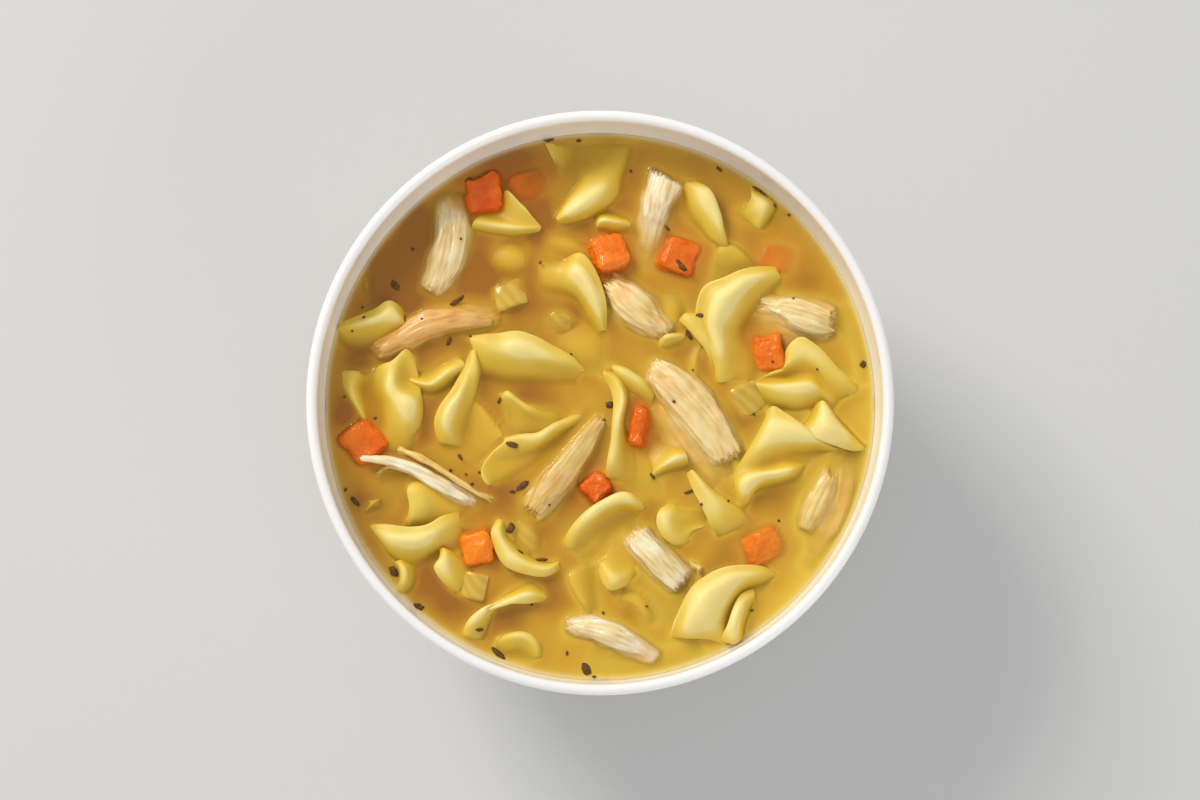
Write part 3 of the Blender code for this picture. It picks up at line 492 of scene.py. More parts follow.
        [(19.8, -25.6, 0.6), (16.6, -27.3, 1.8), (15.6, -30, 2.2), (16.8, -33.2, 2), (19.6, -35.3, 1.3),
         (23.4, -34.8, 0.4)],
        [(20.4, -26.4, 0.6), (18, -28, 1.8), (17.1, -30.1, 2.2), (18.1, -32.6, 1.9), (20.2, -34.2, 1.2),
         (23.4, -33.7, 0.5)],
        [(22, -26.9, 0), (20.4, -28.8, 0.7), (20, -30.3, 0.9), (20.6, -31.8, 0.8), (22, -32.8, 0.6),
         (24.2, -32.6, 0.5)],
        [(25, -26.6, -1), (24, -28.8, -0.4), (23.6, -30, -0.2), (24, -31, 0), (24.8, -31.6, 0.3),
         (26, -31.7, 0.4)],
        [(28.4, -27, -3), (28, -28.6, -2.2), (27.6, -29.8, -1.6), (27.6, -30.5, -1), (27.6, -31, -0.4),
         (27.8, -31.2, 0)],
    ],
    "noodle_26": [
        [(22, -17.6, -0.4), (23.6, -21.9, 0), (25.8, -26.4, 0.2), (28, -31.2, -0.2), (30, -35.4, -2)],
        [(22.9, -17.2, 1), (24.9, -21.3, 2.2), (27.4, -25.8, 2.6), (30, -30.4, 1.8), (31.6, -34.5, -0.4)],
        [(23.5, -16.9, 1.2), (26, -20.7, 2.4), (29.2, -25, 2.6), (32.2, -29.4, 1.6), (34, -33.4, -0.5)],
        [(24, -17.1, 0.9), (26.9, -20.5, 1.7), (30.8, -24.3, 1.7), (34.6, -28.4, 0.8), (36.8, -32.2, -1.2)],
        [(24.5, -17.8, -0.2), (28, -20.8, 0.3), (32.3, -24.1, 0.3), (37, -27.7, -0.3), (39.8, -31, -2)],
        [(25.2, -18.8, -2.6), (29.2, -21.6, -2.6), (33.8, -24.6, -2.6), (38.8, -28.2, -3), (42, -31, -4)],
    ],
    "noodle_27": [
        [(42.6, -1.6, -0.6), (44.8, -0.3, -0.2), (48.7, -2.8, 0.2), (53.2, -5.9, 0.8), (57.6, -8.8, 0.6),
         (62, -11, 0)],
        [(42.6, -3, 1), (44.7, -1.9, 2.2), (48.5, -4.2, 3), (52.9, -7.2, 3.2), (57.2, -9.8, 2),
         (61.4, -11.7, 0.8)],
        [(40.7, -6.8, 1.2), (43.8, -5.8, 3), (48.4, -6.9, 3.6), (52.6, -8.8, 3.2), (56.8, -10.6, 1.6),
         (60.6, -12.3, 0.2)],
        [(38.8, -10.4, 1.2), (42.2, -9.9, 2.8), (47.2, -9.9, 2.8), (51.8, -10.8, 1.8), (55.8, -11.8, 0.3),
         (59.2, -12.9, -1)],
        [(36.4, -14.2, 1), (40.2, -13.7, 2), (45.2, -13.2, 1.2), (49.8, -13, 0.2), (53.8, -13.3, -1.2),
         (57.2, -14, -2.6)],
        [(34.6, -17.8, 0.8), (38.6, -16.9, 1.7), (43.6, -16, 1), (48.4, -15, 0.5), (51.8, -14.8, -1.2),
         (54.8, -15.2, -3)],
        [(34.4, -20.8, 1), (37.7, -19.1, 3.2), (42.7, -18, 3.1), (47.8, -17.3, 2.4), (51.6, -15.9, 0.4),
         (54, -15.8, -2.4)],
        [(34.9, -23.2, 0.8), (37.8, -21.9, 2.8), (42.2, -19.9, 2.3), (47.2, -19, 1.6), (50.9, -17.8, 0),
         (53.2, -17, -2.6)],
        [(36.1, -26.2, -0.2), (38.2, -24.9, 0.6), (41, -21.9, 0.2), (46.6, -20.2, -0.2),
         (50.6, -19.2, -1.4), (53, -18.4, -3.6)],
    ],
    "noodle_28": [
        [(-41.6, -36.6, -0.4), (-41.3, -39.5, 0), (-43, -41.9, 0.2), (-41.1, -45.4, 0), (-37, -49.8, -0.8)],
        [(-40.7, -36.7, 0.9), (-40.1, -39.3, 1.8), (-41.4, -41.7, 2.2), (-39.7, -44.8, 1.8),
         (-36.4, -48.7, 0.4)],
        [(-39.9, -36.8, 1), (-38.9, -39.3, 1.6), (-39.6, -41.6, 2), (-38.2, -44.4, 1.6), (-35.6, -47.6, 0.4)],
        [(-38.7, -37.2, 0), (-37.2, -39.6, 0.5), (-37, -41.9, 0.6), (-36.2, -43.9, 0.5),
         (-34.6, -46.2, -0.3)],
        [(-36.8, -38.2, -1.6), (-35, -40.2, -1.2), (-34.4, -42, -1), (-33.8, -43.6, -1.2),
         (-33, -45.2, -1.6)],
        [(-34.6, -39, -3.6), (-32.8, -41, -3.2), (-32.2, -42.4, -3), (-31.6, -43.6, -3), (-31, -44.8, -3.4)],
    ],
    "noodle_29": [
        [(-53.2, -40.6, -0.4), (-51.7, -42.4, 0), (-51.4, -45, 0), (-52.8, -48.4, -0.4)],
        [(-51.8, -40, 0.6), (-50.2, -42.3, 1.5), (-50, -45.2, 1.5), (-51.6, -48.9, 0.5)],
        [(-50.6, -39.7, -0.3), (-48.8, -42.2, 0.4), (-48.6, -45.4, 0.4), (-50.4, -49.3, -0.3)],
        [(-48.6, -39.4, -2.6), (-46.4, -42, -2.2), (-46.2, -45.8, -2.2), (-48.6, -49.8, -2.6)],
    ],
    "noodle_30": [
        [(-35, -60, -1.4), (-34.1, -56.3, -0.4), (-30.1, -52.8, 0), (-24.3, -51.6, 0.2), (-19.2, -51.7, 0),
         (-13, -50.8, -0.8)],
        [(-34, -60.2, -0.2), (-32.9, -56.6, 1), (-29.4, -53.5, 1.8), (-23.8, -51.9, 2.4), (-18.9, -50.2, 2.3),
         (-13.3, -49.6, 0.7)],
        [(-33, -60.4, -0.4), (-31.8, -57, 0.4), (-28.7, -52.7, 1.5), (-23.4, -50.4, 2.3), (-18.5, -48.8, 2.2),
         (-13.7, -49.1, 0.6)],
        [(-31.6, -60.8, -1.6), (-30.4, -57.8, -1), (-27.8, -51.8, 0), (-22.8, -48.6, 0.5),
         (-18, -47.2, 0.5), (-14.2, -48.3, -0.2)],
        [(-29.6, -61.2, -3.6), (-28.6, -58.8, -3.4), (-26.8, -51, -2), (-22.2, -46.6, -1.6),
         (-17.6, -45, -1.6),
         (-14.6, -47.2, -2.2)],
    ],
    "noodle_31": [
        [(-27.4, -60.2, -1.4), (-24.6, -59.1, -0.4), (-21.2, -58.3, -0.1), (-17.4, -59, -0.1),
         (-15, -62, -0.2), (-14.2, -65.6, -0.8)],
        [(-27.2, -61.2, -0.5), (-24.4, -60.4, 0.6), (-21.3, -59.6, 1.4), (-18.1, -60.3, 1.5),
         (-16.2, -62.6, 1.2), (-15.3, -65.7, 0)],
        [(-27, -62.4, -0.9), (-24.3, -61.8, 0), (-21.4, -61.1, 0.6), (-18.9, -61.8, 0.6),
         (-17.4, -63.4, 0.2), (-16.4, -65.9, -0.6)],
        [(-27, -64.6, -2.4), (-24.4, -64.2, -1.7), (-21.8, -63.8, -1.4), (-20, -64.4, -1.5),
         (-18.9, -65.4, -1.8),
         (-18, -66.6, -2.2)],
        [(-26.8, -66.6, -4.2), (-24.6, -66.8, -4), (-22.6, -67, -4), (-21.2, -67.2, -4),
         (-20.2, -67.4, -4), (-19.4, -67.6, -4)],
    ],
    "noodle_32": [
        [(-1.8, -40.2, -1), (-0.2, -44.2, -0.2), (2, -48.2, 0), (6.4, -47.2, -0.2), (10.8, -43.4, -1.4)],
        [(-0.8, -40.4, 0), (0.9, -43.6, 1), (2.8, -46.7, 1.4), (6.1, -45.8, 1), (9.8, -42.8, -0.3)],
        [(0.2, -39.8, 0), (1.9, -42.4, 1.1), (3.6, -44.8, 1.6), (6.1, -44.2, 1), (9.2, -41.6, -0.5)],
        [(1.6, -38.6, -0.5), (3, -40.4, 0.1), (4.6, -42, 0.3), (6.4, -41.8, -0.1), (8.8, -40.2, -1.2)],
        [(2.8, -36.8, -1.2), (4, -37.6, -1.1), (5.4, -38.2, -1.2), (6.8, -38.2, -1.6), (8.4, -38, -2.6)],
        [(3.6, -34.6, -2.6), (4.6, -35, -2.6), (5.6, -35.2, -2.8), (6.6, -35.4, -3.4), (7.6, -35.6, -4.2)],
    ],
    "noodle_33": [
        [(46.6, -43, -0.8), (40, -41.4, 0), (32.3, -41.9, 0.3), (24.9, -45.3, 0.4), (21, -50.8, 0.4),
         (18.9, -55.8, 0.2),
         (17.8, -60.2, -0.4)],
        [(46, -43.9, 0.3), (39.9, -42.7, 1.9), (32.7, -43.5, 3), (26, -46.7, 3.4), (22.6, -51.4, 3.4),
         (20.6, -56, 2.6),
         (19.2, -60.3, 1.2)],
        [(45.5, -44.4, 0.3), (39.5, -44, 2.2), (33, -45.1, 3.8), (27.4, -48.4, 4.6), (24.4, -52.6, 4.6),
         (22.9, -56.7, 3.8),
         (21.9, -60.5, 1.8)],
        [(45, -45, 0), (39.2, -45.4, 1.4), (33.6, -47.2, 3.2), (29.2, -50.4, 4.2), (27.2, -53.6, 4.4),
         (26.4, -57.2, 3.6),
         (25.9, -60.7, 1.6)],
        [(44.4, -45.8, -1), (39, -46.6, 0), (34.6, -49.4, 1.2), (31.8, -52.2, 2.4), (30.4, -55.2, 2.8),
         (29.8, -58.2, 2.4),
         (29.6, -61.2, 1)],
        [(44, -46.8, -3), (39.4, -47.8, -2.4), (36.4, -50.8, -1.6), (34.2, -53.6, -0.4), (33, -56.6, 0.6),
         (32.5, -59.4, 0.8),
         (32.6, -62.3, 0)],
    ],
    "noodle_34": [
        [(39.6, -47.2, -0.4), (35.9, -48.8, 0.2), (33.9, -52.6, 0.8), (32.3, -57, 1), (30.4, -61, 0.2)],
        [(39.8, -48.2, 0.8), (36.7, -49.8, 1.9), (34.9, -53.1, 2.8), (33.6, -57.2, 3.1), (32.1, -61.3, 1.6)],
        [(39.9, -48.9, 0.9), (37.4, -50.7, 1.9), (35.9, -53.8, 2.6), (34.9, -57.6, 2.9), (34.2, -61.9, 1.5)],
        [(39.8, -49.8, 0), (38.3, -52, 0.4), (37.1, -54.5, 0.8), (36.2, -58.2, 1), (36.6, -62.4, 0.4)],
        [(39.6, -51, -2), (39.2, -53, -2), (38.6, -55.2, -2), (37.8, -58.6, -2), (38.2, -61.4, -2)],
    ],
}
SECOND_FLAP = [
    [(55.8, 0.4, -0.6), (53.6, -2.4, -1), (51.6, -4.4, -1.2), (50.2, -6.4, -0.8)],
    [(56.4, 0.7, 0.8), (55.4, -2.4, 1.2), (54, -5, 1.6), (52.2, -7.4, 1.8)],
    [(57.1, 1, 1.8), (56.9, -2.8, 3), (56.8, -6, 3.6), (56.4, -9.6, 2.8)],
    [(57.9, 0.8, 1.8), (59, -3, 3.2), (60.2, -7, 3.8), (60.6, -11.2, 2.6)],
    [(58.7, 0.1, 0.8), (61.2, -3.8, 1.6), (64, -7.8, 2.2), (65.4, -12.4, 1.8)],
    [(59.4, -0.6, -1), (62, -4.1, -0.6), (65.2, -8, 0.4), (68.4, -11.6, 0.6)],
]


def through(points, steps):
    """A smooth run through the given points, with a number of steps between each two of them."""
    ends = np.concatenate([2 * points[:1] - points[1:2], points, 2 * points[-1:] - points[-2:-1]])
    run = []
    for i in range(len(points) - 1):
        before, start, stop, after = ends[i : i + 4]
        for t in np.arange(steps) / steps:
            run.append(
                start
                + 0.5 * t * (stop - before)
                + t**2 * (before - 2.5 * start + 2 * stop - 0.5 * after)
                + 0.5 * t**3 * (after - before + 3 * start - 3 * stop)
            )
    run.append(points[-1])
    return np.array(run)


def steps_for(net, axis):
    """The steps between two lines, or between two points of a line, for cells of about SHEET_CELL."""
    gaps = np.linalg.norm(np.diff(net, axis=axis), axis=2)
    return max(2, round(gaps.mean() / SHEET_CELL))


def bordered(net):
    """Raises long borders that float into thin cut edges, and slopes those in the lee down into the broth."""
    for first in (True, False):
        border, beside = (net[0], net[1]) if first else (net[-1], net[-2])
        outward = border[:, :2] - beside[:, :2]
        outward /= np.maximum(np.linalg.norm(outward, axis=1), 0.1)[:, None]
        floating_share = np.clip((border[:, 2] + SUNK_BORDER) / 0.5, 0, 1)
        if (outward @ LEE_WAY).mean() > LEE_LEAST and floating_share.mean() > 0.5:
            slope = np.column_stack([border[:, :2] + SLOPE_WIDTH * outward, border[:, 2] - SLOPE_FALL])[None]
            net = np.concatenate([slope, net] if first else [net, slope])
        else:
            raised = np.maximum(border[:, 2], np.minimum(beside[:, 2] - BORDER_FALL, BORDER_LIFT))
            border[:, 2] += floating_share * (raised - border[:, 2])
    return net


def spot(x, y, lift):
    """A place given in mm to the right of the bowl's middle, to its back, and over the broth."""
    return Vector((BOWL_MIDDLE.x + x * MM, BOWL_MIDDLE.y + y * MM, LEVEL + lift * MM))


def evened(lifts, rounds):
    """The lifts over a sheet, drawn in rounds half way to the mean of their four neighbours."""
    for turn in range(rounds):
        edged = np.pad(lifts, 1, mode="edge")
        beside = edged[:-2, 1:-1] + edged[2:, 1:-1] + edged[1:-1, :-2] + edged[1:-1, 2:]
        lifts = 0.5 * lifts + 0.125 * beside
    return lifts


def new_sheet(lines, thickness, rim, afloat=True):
    """A sheet laid smoothly through its lines, whose top is at their lift, and which thins at its rim."""
    net = np.array(lines, float)
    if afloat:
        net = bordered(net)
        net[:, :, 2] = np.where(net[:, :, 2] < 0, SUNK_SHALLOWNESS * net[:, :, 2], net[:, :, 2])
    wide = through(net, steps_for(net, 0))
    places = through(wide.transpose(1, 0, 2), steps_for(net, 1)).transpose(1, 0, 2)
    if afloat:
        places[:, :, 2] += FOLD_SHARPNESS * (places[:, :, 2] - evened(places[:, :, 2], FOLD_ROUNDS))
    rows, columns = places.shape[:2]
    bm = bmesh.new()
    bmesh.ops.create_grid(bm, x_segments=columns - 1, y_segments=rows - 1, size=1)
    for vert in bm.verts:
        column = round((vert.co.x + 1) / 2 * (columns - 1))
        row = round((vert.co.y + 1) / 2 * (rows - 1))
        vert.co = spot(*places[row, column])
    bm.normal_update()
    if sum(face.normal.z * face.calc_area() for face in bm.faces) < 0:
        bmesh.ops.reverse_faces(bm, faces=bm.faces[:])
        bm.normal_update()
    top = [(vert, vert.co - vert.normal * (rim if vert.is_boundary else thickness)) for vert in bm.verts]
    copied = bmesh.ops.duplicate(bm, geom=bm.verts[:] + bm.edges[:] + bm.faces[:])
    for vert, place in top:
        copied["vert_map"][vert].co = place
    lower = [part for part in copied["geom"] if isinstance(part, bmesh.types.BMFace)]
    bmesh.ops.reverse_faces(bm, faces=lower)
    bmesh.ops.bridge_loops(bm, edges=[edge for edge in bm.edges if edge.is_boundary])
    bmesh.ops.recalc_face_normals(bm, faces=bm.faces[:])
    return bm


def smoothed(bm, levels, sharp_from=None, crease=0.0):
    """The same shape rounded by subdivision, with the edges that turn more than an angle held by a crease."""
    if sharp_from is not None:
        layer = bm.edges.layers.float.new("crease_edge")
        for edge in bm.edges:
            if len(edge.link_faces) == 2 and edge.calc_face_angle() > math.radians(sharp_from):
                edge[layer] = crease
    mesh = bpy.data.meshes.new("working")
    bm.to_mesh(mesh)
    bm.free()
    working = bpy.data.objects.new("working", mesh)
    bpy.context.scene.collection.objects.link(working)
    rounding = working.modifiers.new("rounding", "SUBSURF")
    rounding.levels = levels
    rounding.render_levels = levels
    graph = bpy.context.evaluated_depsgraph_get()
    finer = bmesh.new()
    finer.from_object(working, graph)
    bpy.data.objects.remove(working, do_unlink=True)
    bpy.data.meshes.remove(mesh)
    finer.normal_update()
    return finer


def pull_by_noise(bm, depth, size, seed):
    """Moves each point along its normal by a noise of the given depth and size."""
    moves = []
    for vert in bm.verts:
        value = noise.noise(vert.co / size + Vector((seed, 2 * seed, -seed)))
        moves.append(vert.co + vert.normal * value * depth)
    for vert, place in zip(bm.verts, moves):
        vert.co = place
    bm.normal_update()


def keep_in_bowl(bm):
    """Pushes in any point that stands nearer than WALL_GAP to the bowl's inner wall."""
    for vert in bm.verts:
        room = wall_radius(vert.co.z, INNER_RADIUS, INNER_DEPTH) - WALL_GAP
        reach = math.hypot(vert.co.x, vert.co.y)
        if reach > room:
            vert.co.x *= room / reach
            vert.co.y *= room / reach
    bm.normal_update()


def mark(piece, name, values, kind="FLOAT"):
    """Keeps a value for each point of a piece, for its finish to read."""
    layer = piece.data.attributes.new(name, kind, "POINT")
    field = {"FLOAT": "value", "FLOAT_VECTOR": "vector", "FLOAT_COLOR": "color"}[kind]
    layer.data.foreach_set(field, np.ascontiguousarray(values, np.float32).ravel())


def mark_painted_fold_shading(piece):
    """Marks how each point stands on its sheet, for painted shade in hollows and painted highlights on ridges
    and cut edges: 0 in a hollow, 1 on a ridge, 2 on a cut edge.
    """
    ends = np.array([edge.vertices for edge in piece.data.edges])
    heights = np.array([vert.co.z for vert in piece.data.vertices])
    on_top = np.array([vert.normal.z > 0 for vert in piece.data.vertices], float)
    links = np.bincount(ends.ravel(), minlength=len(heights))
    height_sum, share = heights * on_top, on_top
    for turn in range(FOLD_REACH):
        spread = []
        for field in (height_sum, share):
            sums = np.bincount(ends[:, 0], field[ends[:, 1]], len(field))
            sums += np.bincount(ends[:, 1], field[ends[:, 0]], len(field))
            spread.append(0.5 * field + 0.5 * sums / links)
        height_sum, share = spread
        if turn == RIM_ROUNDS - 1:
            edge = np.clip((RIM_SHARE - share) / RIM_SPAN, 0, 1)
    # Hollows get painted shade, and ridges and the cut rim get painted highlights.
    over = (heights - height_sum / np.maximum(share, 0.01)) / FOLD_DEPTH
    painted_fold_shading = np.clip(0.5 + 0.5 * over + RIM_PAINTED_HIGHLIGHT * np.clip(1 - share, 0, 0.5), 0, 1) + edge
    mark(piece, "painted_fold_shading", painted_fold_shading)


def joined(parts):
    """Several bmeshes put together in one."""
    whole = bmesh.new()
    for part in parts:
        mesh = bpy.data.meshes.new("working")
        part.to_mesh(mesh)
        part.free()
        whole.from_mesh(mesh)
        bpy.data.meshes.remove(mesh)
    whole.normal_update()
    return whole


def new_noodle(lines, afloat=True):
    """A ribbon of pasta laid through its lines."""
    return smoothed(new_sheet(lines, SHEET_THICKNESS, RIM_THICKNESS, afloat), 1)


def nodes_of(kind):
    """The solid's nodes of one kind, in order, with their numbers."""
    return enumerate(sorted(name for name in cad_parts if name.startswith(kind)))


# Boiled egg pasta: pale yellow, a little see-through, wet and softly shiny, and stained by the broth
# where sunk.
pasta, tree, shader = new_finish(
    "boiled_egg_pasta",
    Roughness=0.52,
    IOR=1.45,
    Subsurface_Weight=0.35,
    Subsurface_Scale=1.2 * MM,
    Coat_Weight=0.14,
    Coat_Roughness=0.3,
)
shader.inputs["Subsurface Radius"].default_value = (1.0, 0.65, 0.2)
place = add_node(tree, "ShaderNodeTexCoord").outputs["Object"]
height = add_node(tree, "ShaderNodeSeparateXYZ", inputs={"Vector": place}).outputs["Z"]
sunk = add_node(
    tree,
    "ShaderNodeMapRange",
    inputs={"Value": height, "From Min": LEVEL - 5 * MM, "From Max": LEVEL + 3.5 * MM},
)
# Painted shade and highlights: a sheet's hollows are painted a deeper gold as shade, and its ridges and cut
# rims paler as highlights. The ramp below mixes this with the stain by height.
painted_fold_shading = add_node(tree, "ShaderNodeAttribute", {"attribute_name": "painted_fold_shading"}).outputs["Fac"]
painted_fold_light = add_node(
    tree, "ShaderNodeMapRange", inputs={"Value": painted_fold_shading, "From Max": 2.0, "To Min": -0.2, "To Max": 0.4}
)
pale = add_node(
    tree,
    "ShaderNodeMath",
    {"operation": "ADD", "use_clamp": True},
    {0: sunk.outputs["Result"], 1: painted_fold_light.outputs["Result"]},
)
stain = add_node(tree, "ShaderNodeValToRGB", inputs={"Fac": pale.outputs["Value"]})
stain.color_ramp.elements[0].color = tint("#b8841a")
stain.color_ramp.elements[1].color = tint("#f3df8c")
for place_in_ramp, colour in ((0.35, "#d1a31c"), (0.55, "#dcb22e"), (0.72, "#e2be3e"), (0.87, "#e8ca56")):
    stain.color_ramp.elements.new(place_in_ramp).color = tint(colour)
# Dough mixes unevenly, in clouds of about 5 mm.
clouds = add_node(tree, "ShaderNodeTexNoise", inputs={"Vector": place, "Scale": 200.0, "Detail": 3.0})
shade = add_node(
    tree, "ShaderNodeMapRange", inputs={"Value": clouds.outputs["Fac"], "To Min": 0.93, "To Max": 1.05}
)
mottled = add_node(
    tree,
    "ShaderNodeVectorMath",
    {"operation": "SCALE"},
    {"Vector": stain.outputs["Color"], "Scale": shade.outputs["Result"]},
)
tree.links.new(mottled.outputs["Vector"], shader.inputs["Base Color"])
# The boiled skin is faintly rough, with a grain of about 0.8 mm.
grain = add_node(tree, "ShaderNodeTexNoise", inputs={"Vector": place, "Scale": 1200.0, "Detail": 2.0})
relief = add_node(
    tree, "ShaderNodeBump", inputs={"Height": grain.outputs["Fac"], "Strength": 0.12, "Distance": 0.1 * MM}
)
tree.links.new(relief.outputs["Normal"], shader.inputs["Normal"])

floating = []
for number, node in nodes_of("noodle"):
    bm = new_noodle(NOODLE_SHEETS[node])
    if node == "noodle_27":
        bm = joined([bm, new_noodle(SECOND_FLAP)])
    pull_by_noise(bm, *WRINKLE, number + 1)
    keep_in_bowl(bm)
    noodle = new_piece("egg_" + node, bm, pasta)
    mark_painted_fold_shading(noodle)
    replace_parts(noodle, node)
    floating.append(noodle)


